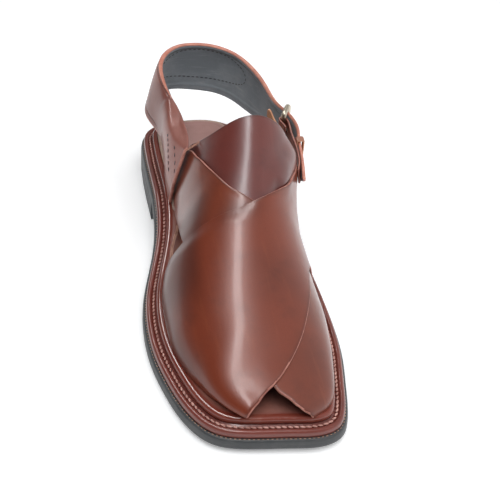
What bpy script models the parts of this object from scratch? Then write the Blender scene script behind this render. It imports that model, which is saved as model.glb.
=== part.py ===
"""Crossed-strap sandal with a buckled heel strap, right foot, built from named sizes.

Working frame while building: X runs to the outer (lateral) side, Y runs to the toe,
Z runs up, millimetres.  place() turns it half a turn so the toe points to -Y
and stores metres, with the origin under the middle of the bounding box.
"""
import math

import bmesh
import bpy
import numpy as np

MM = 0.001
OBJECT_NAME = "crossed_strap_sandal"

# Middle of the bounding box in the working frame, mm.
CENTRE_ACROSS = 6.67
CENTRE_ALONG = 145.77

# Thickness of each sole layer and the gap left between neighbouring pieces, mm.
OUTSOLE_THICK = 6.0
MIDSOLE_THICK = 4.2
INSOLE_THICK = 3.2
GAP = 0.3

# How far each layer stands in from the ground outline, mm.
MIDSOLE_INSET = 2.2
INSOLE_INSET = 8.0

# Leather thicknesses, mm.
TONGUE_WALL = 1.8
UNDER_WALL = 2.0
OVER_WALL = 2.2
LAYER_OVERLAP = 0.7
HOLDER_WALL = 1.4
KEEPER_WALL = 1.0

HEEL_LIFT_HEIGHT = 14.0
HEEL_BREAST = 88.0

# Ground outline of the sole, mm: (place, across, along).
OUTLINE = (
    ("heel back", 1.0, 0.0),
    ("heel back outer", 20.0, 3.0),
    ("heel corner outer", 33.5, 13.0),
    ("heel outer rear", 38.5, 32.0),
    ("heel outer", 40.5, 60.0),
    ("breast outer", 41.8, 90.0),
    ("waist outer rear", 44.8, 117.0),
    ("waist outer", 52.0, 143.0),
    ("ball outer rear", 60.0, 168.0),
    ("ball outer", 65.0, 196.0),
    ("ball outer front", 65.5, 222.0),
    ("toe outer rear", 62.0, 247.0),
    ("toe outer", 55.5, 270.0),
    ("toe corner outer", 45.0, 285.0),
    ("toe front outer", 29.0, 291.5),
    ("toe front", 8.0, 295.5),
    ("toe front inner", -8.5, 297.5),
    ("toe corner inner", -19.0, 294.0),
    ("toe inner", -26.0, 283.5),
    ("toe inner rear", -32.0, 265.0),
    ("ball inner front", -38.5, 241.0),
    ("ball inner", -42.5, 212.0),
    ("ball inner rear", -44.2, 182.0),
    ("waist inner", -44.8, 150.0),
    ("waist inner rear", -44.0, 118.0),
    ("breast inner", -42.0, 88.0),
    ("heel inner", -40.0, 55.0),
    ("heel inner rear", -36.5, 28.0),
    ("heel corner inner", -29.0, 10.0),
    ("heel back inner", -15.5, 2.0),
)

# Height of the underside of the outsole along the shoe, mm: (along, height).
UNDERSIDE = (
    (-5.0, 14.0),
    (92.0, 14.0),
    (102.0, 11.6),
    (116.0, 7.2),
    (131.0, 3.8),
    (146.0, 1.4),
    (158.0, 0.3),
    (166.0, 0.0),
    (216.0, 0.0),
    (240.0, 0.4),
    (266.0, 1.3),
    (299.0, 2.8),
)

# Last sections that carry the straps, mm above the insole:
# (along, ridge across, ridge height, fullness outer, fullness inner, inner swell).
SECTIONS = (
    (80.0, -15.5, 79.0, 1.7, 3.0, 9.0),
    (105.0, -14.0, 76.5, 1.7, 3.0, 8.5),
    (125.0, -12.0, 73.0, 1.7, 2.9, 6.5),
    (140.0, -8.5, 66.0, 1.7, 2.5, 2.5),
    (155.0, -4.5, 59.0, 1.75, 2.2, -0.5),
    (175.0, 0.0, 50.0, 1.85, 2.1, -3.0),
    (200.0, 4.5, 39.5, 1.95, 2.05, -2.5),
    (225.0, 8.0, 29.0, 2.05, 2.1, -0.5),
    (250.0, 10.0, 18.0, 2.1, 2.2, 1.5),
    (270.0, 11.0, 8.5, 2.1, 2.2, 1.5),
    (289.0, 11.0, 2.5, 2.1, 2.2, 0.5),
)

# Lines where the straps meet the insole, mm: (along, outer across, inner across).
STRAP_FEET = (
    (60.0, 18.0, -27.0),
    (85.0, 22.5, -29.0),
    (105.0, 26.0, -30.5),
    (125.0, 30.0, -31.5),
    (146.0, 34.5, -32.0),
    (171.0, 43.0, -32.5),
    (191.0, 47.5, -32.0),
    (222.0, 49.0, -29.0),
    (243.0, 45.5, -24.0),
    (257.0, 40.5, -20.5),
    (268.0, 34.0, -17.5),
    (277.0, 25.0, -14.0),
    (281.5, 17.0, -10.5),
    (286.0, 12.0, -2.0),
    (289.0, 12.0, 4.0),
)

# Strap edges on the last: (sweep from outer foot 0 to inner foot 1, along), mm.
OVER_REAR = (
    (0, 150.0), (0.06, 163.0), (0.13, 171.5), (0.2, 174.5), (0.3, 175.8),
    (0.41, 175.8), (0.494, 173.5), (0.569, 169.0), (0.65, 161.0), (0.694, 156.0),
    (0.75, 147.0), (0.819, 135.0), (0.856, 127.0), (0.92, 122.0), (1, 120.0),
)
OVER_FRONT = (
    (0, 277.5), (0.225, 278.0), (0.469, 273.5), (0.513, 270.5), (0.544, 267.0),
    (0.594, 260.5), (0.65, 251.0), (0.694, 240.0), (0.738, 226.0), (0.775, 212.0),
    (0.819, 201.0), (0.9, 192.0), (1, 187.0),
)
UNDER_REAR = (
    (0, 98.0), (0.1, 101.0), (0.194, 109.0), (0.238, 123.0), (0.281, 135.0),
    (0.356, 152.0), (0.413, 162.0), (0.55, 176.0), (0.75, 186.0), (1, 183.0),
)
UNDER_FRONT = (
    (0, 108.5), (0.03, 116.0), (0.075, 134.0), (0.12, 150.0), (0.169, 165.0),
    (0.3, 215.0), (0.4, 252.0), (0.475, 273.5), (0.525, 279.5), (0.619, 284.7),
    (0.8, 287.0), (1, 286.0),
)
TONGUE_REAR = (
    (0.1, 97.0), (0.175, 101.5), (0.238, 111.0), (0.312, 118.5), (0.363, 121.0),
    (0.413, 122.3), (0.5, 123.5), (0.6, 124.0), (0.69, 123.2), (0.756, 123.0),
    (0.8, 125.0), (0.86, 129.0), (0.9, 132.0),
)
TONGUE_FRONT = (
    (0.1, 150.0), (0.3, 186.0), (0.5, 205.0), (0.7, 190.0), (0.9, 160.0),
)

# Heel strap, outer face, mm: (place, top edge across, along, height,
# ridge across, along, height, low edge across, along, height, wall).
HEEL_STRAP = (
    ("ear front", 23.6, 113.0, 68.8, 29.4, 115.0, 56.0, 33.6, 106.5, 25.3, 2.0),
    ("ear mid", 22.2, 100.0, 69.5, 29.8, 99.0, 60.0, 33.2, 95.5, 28.7, 2.0),
    ("ear rear", 20.8, 84.0, 69.0, 28.8, 84.0, 61.5, 31.2, 80.0, 29.6, 2.2),
    ("ear shoulder", 19.8, 70.0, 68.4, 27.4, 70.0, 63.0, 29.4, 66.0, 37.0, 2.5),
    ("outer side", 19.4, 56.0, 68.6, 25.8, 56.0, 65.5, 29.8, 50.0, 41.0, 2.8),
    ("outer side rear", 22.5, 44.0, 70.5, 26.3, 43.0, 67.0, 32.3, 38.0, 42.0, 3.0),
    ("outer quarter", 24.4, 24.0, 74.8, 27.3, 24.0, 68.5, 34.6, 22.0, 43.5, 3.0),
    ("outer back", 19.3, 5.0, 78.6, 22.0, 4.5, 71.0, 27.5, 4.0, 45.5, 3.0),
    ("back outer", 8.5, -4.0, 80.7, 10.3, -4.8, 72.5, 14.5, -5.0, 47.0, 3.0),
    ("back", -6.0, -3.8, 82.0, -5.2, -5.0, 73.5, -3.0, -4.0, 46.5, 3.0),
    ("back inner", -19.0, 0.0, 81.4, -19.2, -1.0, 73.0, -18.5, 2.0, 46.0, 3.0),
    ("inner back", -30.0, 9.0, 80.0, -30.5, 8.8, 72.0, -29.0, 12.5, 45.5, 3.0),
    ("inner quarter", -38.0, 26.0, 78.2, -38.6, 26.5, 70.5, -35.5, 30.0, 46.0, 3.0),
    ("inner side", -42.3, 52.0, 75.8, -43.0, 52.0, 69.0, -41.0, 54.0, 49.0, 2.8),
    ("buckle rear", -44.3, 75.0, 73.8, -44.9, 75.0, 68.0, -44.2, 76.0, 53.5, 2.3),
    ("buckle front", -48.8, 89.0, 72.6, -49.2, 89.0, 67.5, -48.0, 89.0, 54.5, 2.2),
    ("free rear", -50.3, 100.0, 70.4, -50.5, 99.0, 65.8, -49.3, 97.0, 54.0, 2.2),
    ("free middle", -47.8, 112.5, 67.6, -48.5, 111.0, 63.2, -48.2, 106.0, 52.0, 1.8),
    ("free", -45.8, 126.0, 63.6, -47.0, 123.0, 59.2, -47.6, 114.5, 49.0, 1.8),
    ("free end", -42.8, 141.5, 57.6, -44.6, 138.0, 54.0, -46.8, 125.0, 45.8, 2.0),
)


# Holder strap that carries the buckle, middle of its thickness, mm:
# (top across, along, height, low across, along, height).
HOLDER = (
    (-39.6, 135.5, 61.0, -41.8, 134.5, 50.5),
    (-41.9, 130.0, 63.2, -43.5, 129.5, 51.5),
    (-42.8, 122.0, 67.0, -44.1, 121.5, 53.5),
    (-42.8, 114.0, 69.6, -43.2, 114.0, 55.0),
    (-43.4, 105.0, 70.8, -43.6, 105.0, 56.5),
    (-44.6, 97.5, 71.2, -44.6, 97.5, 57.0),
    (-44.9, 92.8, 71.2, -44.9, 92.8, 57.0),
    (-44.1, 89.6, 71.2, -44.1, 89.6, 57.0),
    (-41.8, 88.7, 71.2, -41.8, 88.7, 57.0),
    (-40.1, 91.3, 71.2, -40.1, 91.3, 57.0),
    (-40.7, 96.0, 71.2, -40.8, 96.0, 57.0),
    (-41.3, 101.0, 70.9, -41.4, 101.0, 56.7),
)

# Buckle loop, wire centre line corners and wire radius, mm.
BUCKLE = (
    (-48.6, 81.4, 75.4),
    (-42.6, 91.4, 74.6),
    (-42.6, 91.4, 52.6),
    (-48.6, 81.4, 50.8),
)
BUCKLE_WIRE = 1.2

# Prong, centre line and radius, mm.
PRONG = (
    (-43.0, 94.0, 64.0),
    (-45.2, 92.2, 64.0),
    (-48.3, 88.4, 64.0),
    (-51.1, 82.4, 64.0),
    (-51.5, 79.2, 64.0),
)
PRONG_RADIUS = 0.9

# Keeper loop stations, mm: (along, inner face, outer face, low, top).
KEEPER = (
    (111.0, -45.6, -49.1, 48.9, 68.6),
    (113.0, -45.5, -49.0, 48.4, 68.1),
    (115.0, -45.4, -48.8, 47.8, 67.6),
)


def pchip(xs, ys, x):
    """Monotone cubic through the rows, evaluated at x (array)."""
    xs = np.asarray(xs, float)
    ys = np.asarray(ys, float)
    x = np.clip(np.asarray(x, float), xs[0], xs[-1])
    step = np.diff(xs)
    slope = np.diff(ys) / step
    grad = np.zeros(len(xs))
    for i in range(1, len(xs) - 1):
        if slope[i - 1] * slope[i] > 0.0:
            w1 = 2.0 * step[i] + step[i - 1]
            w2 = step[i] + 2.0 * step[i - 1]
            grad[i] = (w1 + w2) / (w1 / slope[i - 1] + w2 / slope[i])
    grad[0] = slope[0]
    grad[-1] = slope[-1]
    k = np.clip(np.searchsorted(xs, x, side="right") - 1, 0, len(xs) - 2)
    h = step[k]
    t = (x - xs[k]) / h
    a = ys[k] * (2 * t ** 3 - 3 * t ** 2 + 1) + grad[k] * h * (t ** 3 - 2 * t ** 2 + t)
    b = ys[k + 1] * (3 * t ** 2 - 2 * t ** 3) + grad[k + 1] * h * (t ** 3 - t ** 2)
    return a + b


def natural_spline(t, p, u, closed=False):
    """Cubic spline through rows p at parameters t, evaluated at u."""
    t = np.asarray(t, float)
    p = np.asarray(p, float)
    n = len(p)
    h = np.diff(t)
    if closed:
        m = n - 1
        a = np.zeros((m, m))
        b = np.zeros((m, p.shape[1]))
        for i in range(m):
            hp = h[i - 1]
            hn = h[i]
            a[i, (i - 1) % m] += hp
            a[i, i] += 2.0 * (hp + hn)
            a[i, (i + 1) % m] += hn
            before = (p[i] - p[i - 1]) / hp if i > 0 else (p[0] - p[m - 1]) / hp
            b[i] = 6.0 * ((p[i + 1] - p[i]) / hn - before)
        curve = np.linalg.solve(a, b)
        curve = np.vstack([curve, curve[:1]])
    else:
        a = np.eye(n)
        b = np.zeros((n, p.shape[1]))
        for i in range(1, n - 1):
            a[i, i - 1] = h[i - 1]
            a[i, i] = 2.0 * (h[i - 1] + h[i])
            a[i, i + 1] = h[i]
            b[i] = 6.0 * ((p[i + 1] - p[i]) / h[i] - (p[i] - p[i - 1]) / h[i - 1])
        curve = np.linalg.solve(a, b)
    u = np.clip(np.asarray(u, float), t[0], t[-1])
    k = np.clip(np.searchsorted(t, u, side="right") - 1, 0, n - 2)
    hk = h[k][:, None]
    left = (t[k + 1] - u)[:, None]
    right = (u - t[k])[:, None]
    val = curve[k] * left ** 3 / (6 * hk) + curve[k + 1] * right ** 3 / (6 * hk)
    val += (p[k] / hk - curve[k] * hk / 6) * left
    val += (p[k + 1] / hk - curve[k + 1] * hk / 6) * right
    return val


def chord(p):
    """Running length of a polyline."""
    d = np.linalg.norm(np.diff(p, axis=0), axis=1)
    return np.concatenate([[0.0], np.cumsum(d)])


def underside(y):
    """Height of the outsole underside at distance y from the heel."""
    return pchip([r[0] for r in UNDERSIDE], [r[1] for r in UNDERSIDE], y)


def ground(y):
    """Flat floor height for the heel lift."""
    return 0.0 * np.asarray(y, float)


def midsole_base(y):
    """Height of the midsole's underside at distance y from the heel."""
    return underside(y) + OUTSOLE_THICK + GAP


def insole_base(y):
    """Height of the insole's underside at distance y from the heel."""
    return midsole_base(y) + MIDSOLE_THICK + GAP


def insole_top(y):
    """Height of the insole's top face at distance y from the heel."""
    return insole_base(y) + INSOLE_THICK


def half_outlines(count):
    """Outer and inner halves of the ground outline, heel back to toe front."""
    rows = np.array([[r[1], r[2]] for r in OUTLINE])
    loop = np.vstack([rows, rows[:1]])
    t = chord(loop)
    u = np.linspace(0.0, t[-1], 3001)
    dense = natural_spline(t, loop, u, closed=True)
    toe = int(np.argmax(dense[:, 1]))
    outer = dense[:toe + 1]
    inner = dense[toe:][::-1]
    halves = []
    for half in (outer, inner):
        s = chord(half)
        x = np.linspace(0.0, 1.0, count + 1)
        # closer rows at both ends, where the outline turns
        w = x - 0.5 * np.sin(2.0 * math.pi * x) / (2.0 * math.pi)
        halves.append(np.stack([np.interp(w * s[-1], s, half[:, k]) for k in (0, 1)], 1))
    return halves


def inset_halves(count, inset):
    """The two halves moved inwards by inset."""
    outer, inner = half_outlines(count)
    ring = np.vstack([outer, inner[::-1][1:-1]])
    prev = np.roll(ring, 1, 0)
    nxt = np.roll(ring, -1, 0)
    tangent = nxt - prev
    tangent /= np.linalg.norm(tangent, axis=1)[:, None]
    normal = np.stack([-tangent[:, 1], tangent[:, 0]], 1)
    moved = ring + normal * inset
    n = count + 1
    back = np.vstack([moved[n - 1:], moved[:1]])[::-1]
    return moved[:n], back


def make_mesh(name, verts, faces, collection):
    """One closed mesh object, faces turned outwards, smooth shaded."""
    mesh = bpy.data.meshes.new(name)
    mesh.from_pydata([tuple(v) for v in np.asarray(verts) * MM], [], faces)
    bm = bmesh.new()
    bm.from_mesh(mesh)
    bmesh.ops.remove_doubles(bm, verts=bm.verts, dist=1e-6)
    bmesh.ops.dissolve_degenerate(bm, edges=bm.edges, dist=1e-7)
    bmesh.ops.recalc_face_normals(bm, faces=bm.faces)
    bmesh.ops.triangulate(bm, faces=bm.faces)
    bm.to_mesh(mesh)
    bm.free()
    for poly in mesh.polygons:
        poly.use_smooth = True
    obj = bpy.data.objects.new(name, mesh)
    collection.objects.link(obj)
    return obj


def plate(name, collection, profile, height, count, columns, y_limit=None):
    """A sole layer: profile rows are (inset, up) from its underside to its top."""
    verts = []
    faces = []
    rings = []
    for inset, up in profile:
        outer, inner = inset_halves(count, inset)
        ring = [outer[:-1], inner[::-1][:-1]]
        if y_limit is not None:
            outer = cut_half(outer, y_limit)
            inner = cut_half(inner, y_limit)
            f = np.arange(1, columns)[:, None] / columns
            breast = outer[-1] + (inner[-1] - outer[-1]) * f
            ring = [outer, breast, inner[::-1][:-1]]
        ring = np.vstack(ring)
        z = height(ring[:, 1]) + up
        start = len(verts)
        verts.extend(np.column_stack([ring, z]).tolist())
        rings.append((start, len(ring)))
    for (a, n), (b, _n) in zip(rings[:-1], rings[1:]):
        for i in range(n):
            j = (i + 1) % n
            faces.append((a + i, a + j, b + j, b + i))
    for (start, n), (_inset, up) in ((rings[0], profile[0]), (rings[-1], profile[-1])):
        grid = []
        for r in range(1, count):
            a = start + r
            b = start + n - r
            row = [a]
            pa = np.array(verts[a])
            pb = np.array(verts[b])
            for c in range(1, columns):
                p = pa + (pb - pa) * c / columns
                p[2] = height(p[1]) + up
                row.append(len(verts))
                verts.append(p.tolist())
            row.append(b)
            grid.append(row)
        if y_limit is not None:
            grid.append([start + count + c for c in range(columns + 1)])
        for c in range(columns):
            faces.append((start, grid[0][c], grid[0][c + 1]))
        for r in range(len(grid) - 1):
            for c in range(columns):
                faces.append((grid[r][c], grid[r + 1][c], grid[r + 1][c + 1], grid[r][c + 1]))
        if y_limit is None:
            tip = start + count
            for c in range(columns):
                faces.append((grid[-1][c], tip, grid[-1][c + 1]))
    return make_mesh(name, verts, faces, collection)


def cut_half(half, y_limit):
    """Keep the rear part of a half outline up to y_limit with the same row count."""
    s = chord(half)
    k = int(np.argmax(half[:, 1] > y_limit))
    f = (y_limit - half[k - 1, 1]) / (half[k, 1] - half[k - 1, 1])
    end = s[k - 1] + f * (s[k] - s[k - 1])
    x = np.linspace(0.0, 1.0, len(half))
    w = x - 0.4 * np.sin(math.pi * x) / math.pi
    return np.stack([np.interp(w * end, s, half[:, c]) for c in (0, 1)], 1)


def last_point(sweep, y, offset):
    """Point on the last: sweep 0 at the outer foot line, 1 at the inner foot line."""
    sweep = np.asarray(sweep, float)
    y = np.asarray(y, float)
    eps = 1e-4
    p = last_surface(sweep, y)
    if np.all(offset == 0.0):
        return p
    du = last_surface(np.minimum(sweep + eps, 1.0), y)
    du -= last_surface(np.maximum(sweep - eps, 0.0), y)
    dv = last_surface(sweep, y + 0.05) - last_surface(sweep, y - 0.05)
    n = np.cross(du, dv)
    n /= np.linalg.norm(n, axis=-1)[..., None]
    return p - n * np.asarray(offset)[..., None]


def last_surface(sweep, y):
    """The bare last surface."""
    ys = [r[0] for r in SECTIONS]
    ridge_x = pchip(ys, [r[1] for r in SECTIONS], y)
    ridge_h = pchip(ys, [r[2] for r in SECTIONS], y)
    full_out = pchip(ys, [r[3] for r in SECTIONS], y)
    full_in = pchip(ys, [r[4] for r in SECTIONS], y)
    yf = [r[0] for r in STRAP_FEET]
    foot_out = pchip(yf, [r[1] for r in STRAP_FEET], y)
    foot_in = pchip(yf, [r[2] for r in STRAP_FEET], y)
    ang = np.clip(sweep, 0.0, 1.0) * math.pi
    c = np.cos(ang)
    s = np.maximum(np.sin(ang), 0.0)
    full = np.where(c > 0.0, full_out, full_in)
    reach = np.where(c > 0.0, foot_out - ridge_x, foot_in - ridge_x)
    rise = s ** (2.0 / full)
    swell = pchip(ys, [r[5] for r in SECTIONS], y) * 4.0 * rise * (1.0 - rise)
    across = np.abs(c) ** (2.0 / full) * reach - np.where(c > 0.0, 0.0, swell)
    up = rise * ridge_h
    return np.stack([ridge_x + across, y + 0.0 * sweep, insole_top(y) + GAP + up], -1)


def strap_sheet(name, collection, rear, front, lo, hi, inner, outer, cells, rows, clear):
    """A strap on the last between two edge curves, its feet clear of the insole."""
    s = np.linspace(0.0, 1.0, cells + 1)
    sweep = lo + (hi - lo) * s
    rear_y = pchip([r[0] for r in rear], [r[1] for r in rear], sweep)
    front_y = pchip([r[0] for r in front], [r[1] for r in front], sweep)
    v = np.linspace(0.0, 1.0, rows + 1)
    yy = rear_y[:, None] + (front_y - rear_y)[:, None] * v[None, :]
    ss = np.repeat(sweep[:, None], rows + 1, 1)
    top = last_point(ss, yy, np.full(ss.shape, outer))
    low = last_point(ss, yy, np.full(ss.shape, inner))
    for face in (top, low):
        face[..., 2] = np.maximum(face[..., 2], insole_top(face[..., 1]) + clear)
    return closed_sheet(name, collection, top, low)


def closed_sheet(name, collection, top, low):
    """Join two grids of points by side walls into one closed solid."""
    m, n, _k = top.shape
    verts = np.concatenate([top.reshape(-1, 3), low.reshape(-1, 3)])
    base = m * n
    faces = []
    for i in range(m - 1):
        for j in range(n - 1):
            a = i * n + j
            quad = (a, a + 1, a + n + 1, a + n)
            faces.append(quad)
            faces.append(tuple(base + q for q in quad[::-1]))
    rim = [(0, j) for j in range(n)]
    rim += [(i, n - 1) for i in range(1, m)]
    rim += [(m - 1, j) for j in range(n - 2, -1, -1)]
    rim += [(i, 0) for i in range(m - 2, 0, -1)]
    for k in range(len(rim)):
        a = rim[k][0] * n + rim[k][1]
        b = rim[(k + 1) % len(rim)][0] * n + rim[(k + 1) % len(rim)][1]
        faces.append((a, b, base + b, base + a))
    return make_mesh(name, verts, faces, collection)


def ribbon(rows, count, across, ridge_at=0.3):
    """Outer and inner face grids of a band given by top, ridge and low rows."""
    table = np.array(rows, float)
    mid = (table[:, 0:3] + table[:, 3:6] + table[:, 6:9]) / 3.0
    t = chord(mid)
    u = np.linspace(0.0, t[-1], count + 1)
    lines = natural_spline(t, table, u)
    v = np.linspace(0.0, 1.0, across + 1)
    face = np.zeros((count + 1, across + 1, 3))
    for i in range(count + 1):
        three = lines[i, :9].reshape(3, 3)
        face[i] = natural_spline((0.0, ridge_at, 1.0), three, v)
    along = np.gradient(face, axis=0)
    down = np.gradient(face, axis=1)
    n = np.cross(along, down)
    n /= np.linalg.norm(n, axis=-1)[..., None]
    return face, face - n * lines[:, 9][:, None, None]


def heel_strap(collection):
    """The heel strap with its outer ear and its free end, one piece of leather."""
    top, low = ribbon([r[1:] for r in HEEL_STRAP], 72, 5)
    return closed_sheet("heel_strap", collection, top, low)


def folded_band(name, collection, path, wall):
    """A thin band along rows of top and low centre points."""
    table = np.array(path, float)
    t = chord(table[:, :2])
    u = np.linspace(0.0, t[-1], 44)
    line = natural_spline(t, table, u)
    faces = [[], []]
    for f in (0.0, 0.5, 1.0):
        mid = line[:, :3] + (line[:, 3:] - line[:, :3]) * f
        tangent = np.gradient(mid[:, :2], axis=0)
        tangent /= np.linalg.norm(tangent, axis=1)[:, None]
        side = np.zeros_like(mid)
        side[:, 0] = -tangent[:, 1] * wall / 2.0
        side[:, 1] = tangent[:, 0] * wall / 2.0
        faces[0].append(mid + side)
        faces[1].append(mid - side)
    return closed_sheet(name, collection, np.stack(faces[0], 1), np.stack(faces[1], 1))


def ring_wire(name, collection, corners, radius, sides, corner_radius):
    """A round wire bent into a closed loop through rounded corners."""
    pts = []
    n = len(corners)
    for i in range(n):
        p = np.array(corners[i], float)
        a = np.array(corners[i - 1], float) - p
        b = np.array(corners[(i + 1) % n], float) - p
        a /= np.linalg.norm(a)
        b /= np.linalg.norm(b)
        for f in np.linspace(0.0, 1.0, 5):
            q = (1 - f) ** 2 * a + f ** 2 * b
            pts.append(p + q * corner_radius)
    pts = np.array(pts)
    tangent = np.roll(pts, -1, 0) - np.roll(pts, 1, 0)
    tangent /= np.linalg.norm(tangent, axis=1)[:, None]
    centre = pts.mean(0)
    flat = np.cross(pts[0] - centre, pts[6] - centre)
    flat /= np.linalg.norm(flat)
    out = np.cross(tangent, flat)
    ang = np.linspace(0.0, 2.0 * math.pi, sides, endpoint=False)
    verts = []
    for k in range(len(pts)):
        for a in ang:
            verts.append(pts[k] + radius * (math.cos(a) * out[k] + math.sin(a) * flat))
    faces = []
    for k in range(len(pts)):
        j = (k + 1) % len(pts)
        for c in range(sides):
            d = (c + 1) % sides
            faces.append((k * sides + c, k * sides + d, j * sides + d, j * sides + c))
    return make_mesh(name, verts, faces, collection)


def tube(name, collection, points, radius, sides):
    """A round rod along an open path with flat ends."""
    pts = np.array(points, float)
    t = chord(pts)
    line = natural_spline(t, pts, np.linspace(0.0, t[-1], 14))
    tangent = np.gradient(line, axis=0)
    tangent /= np.linalg.norm(tangent, axis=1)[:, None]
    up = np.array([0.0, 0.0, 1.0])
    verts = []
    for p, g in zip(line, tangent):
        side = np.cross(g, up)
        side /= np.linalg.norm(side)
        for k in range(sides):
            a = 2.0 * math.pi * k / sides
            verts.append(p + radius * (math.cos(a) * side + math.sin(a) * np.cross(side, g)))
    faces = []
    for k in range(len(line) - 1):
        for c in range(sides):
            d = (c + 1) % sides
            faces.append((k * sides + c, k * sides + d, (k + 1) * sides + d, (k + 1) * sides + c))
    faces.append(tuple(range(sides - 1, -1, -1)))
    faces.append(tuple(range((len(line) - 1) * sides, len(line) * sides)))
    return make_mesh(name, verts, faces, collection)


def keeper(collection):
    """A leather loop round the holder and the free end, following their slope."""
    verts = []
    faces = []
    rows = []
    for along, inner, outer, low, top in KEEPER:
        ring = []
        for grow in (0.0, KEEPER_WALL):
            start = len(verts)
            x0 = inner + grow
            x1 = outer - grow
            z0 = low - grow
            z1 = top + grow
            r = 0.5 + grow
            for cx, cz, first in ((x0 - r, z1 - r, 0.0), (x1 + r, z1 - r, 90.0),
                                  (x1 + r, z0 + r, 180.0), (x0 - r, z0 + r, 270.0)):
                for k in range(4):
                    a = math.radians(first + 30.0 * k)
                    verts.append((cx + r * math.cos(a), along, cz + r * math.sin(a)))
            ring.append((start, 16))
        rows.append(ring)
    for a, b in zip(rows[:-1], rows[1:]):
        for (s0, n), (s1, _n) in zip(a, b):
            for i in range(n):
                j = (i + 1) % n
                faces.append((s0 + i, s0 + j, s1 + j, s1 + i))
    for row in (rows[0], rows[-1]):
        (s0, n), (s1, _n) = row
        for i in range(n):
            j = (i + 1) % n
            faces.append((s0 + i, s0 + j, s1 + j, s1 + i))
    return make_mesh("strap_keeper", verts, faces, collection)


def box(name, collection, low, high):
    """A plain block used as a cutter."""
    verts = [(x, y, z) for x in (low[0], high[0]) for y in (low[1], high[1])
             for z in (low[2], high[2])]
    faces = [(0, 1, 3, 2), (4, 6, 7, 5), (0, 4, 5, 1), (2, 3, 7, 6), (0, 2, 6, 4), (1, 5, 7, 3)]
    obj = make_mesh(name, verts, faces, collection)
    obj.hide_render = True
    obj.display_type = "WIRE"
    return obj


def boolean(obj, other, operation):
    """Apply an exact boolean to obj."""
    mod = obj.modifiers.new(operation.lower(), "BOOLEAN")
    mod.solver = "EXACT"
    mod.operation = operation
    mod.object = other
    graph = bpy.context.evaluated_depsgraph_get()
    graph.update()
    mesh = bpy.data.meshes.new_from_object(obj.evaluated_get(graph))
    obj.modifiers.clear()
    bm = bmesh.new()
    bm.from_mesh(mesh)
    bmesh.ops.remove_doubles(bm, verts=bm.verts, dist=4e-5)
    bmesh.ops.dissolve_degenerate(bm, edges=bm.edges, dist=1e-6)
    bmesh.ops.triangulate(bm, faces=bm.faces)
    flaps = [f for f in bm.faces if any(len(e.link_faces) != 2 for e in f.edges)]
    pairs = {}
    for face in flaps:
        pairs.setdefault(frozenset(v.index for v in face.verts), []).append(face)
    double = [f for group in pairs.values() if len(group) > 1 for f in group]
    bmesh.ops.delete(bm, geom=double, context="FACES_ONLY")
    bm.to_mesh(mesh)
    bm.free()
    obj.data = mesh
    for poly in mesh.polygons:
        poly.use_smooth = True


def material(name, colour, rough, metal):
    """One Principled finish."""
    mat = bpy.data.materials.new(name)
    mat.use_nodes = True
    bsdf = mat.node_tree.nodes["Principled BSDF"]
    bsdf.inputs["Base Color"].default_value = (*colour, 1.0)
    bsdf.inputs["Roughness"].default_value = rough
    bsdf.inputs["Metallic"].default_value = metal
    return mat


def place(obj):
    """Turn the piece into the stored frame: toe to -Y, metres, centred."""
    for v in obj.data.vertices:
        v.co.x = -(v.co.x - CENTRE_ACROSS * MM)
        v.co.y = -(v.co.y - CENTRE_ALONG * MM)


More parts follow.
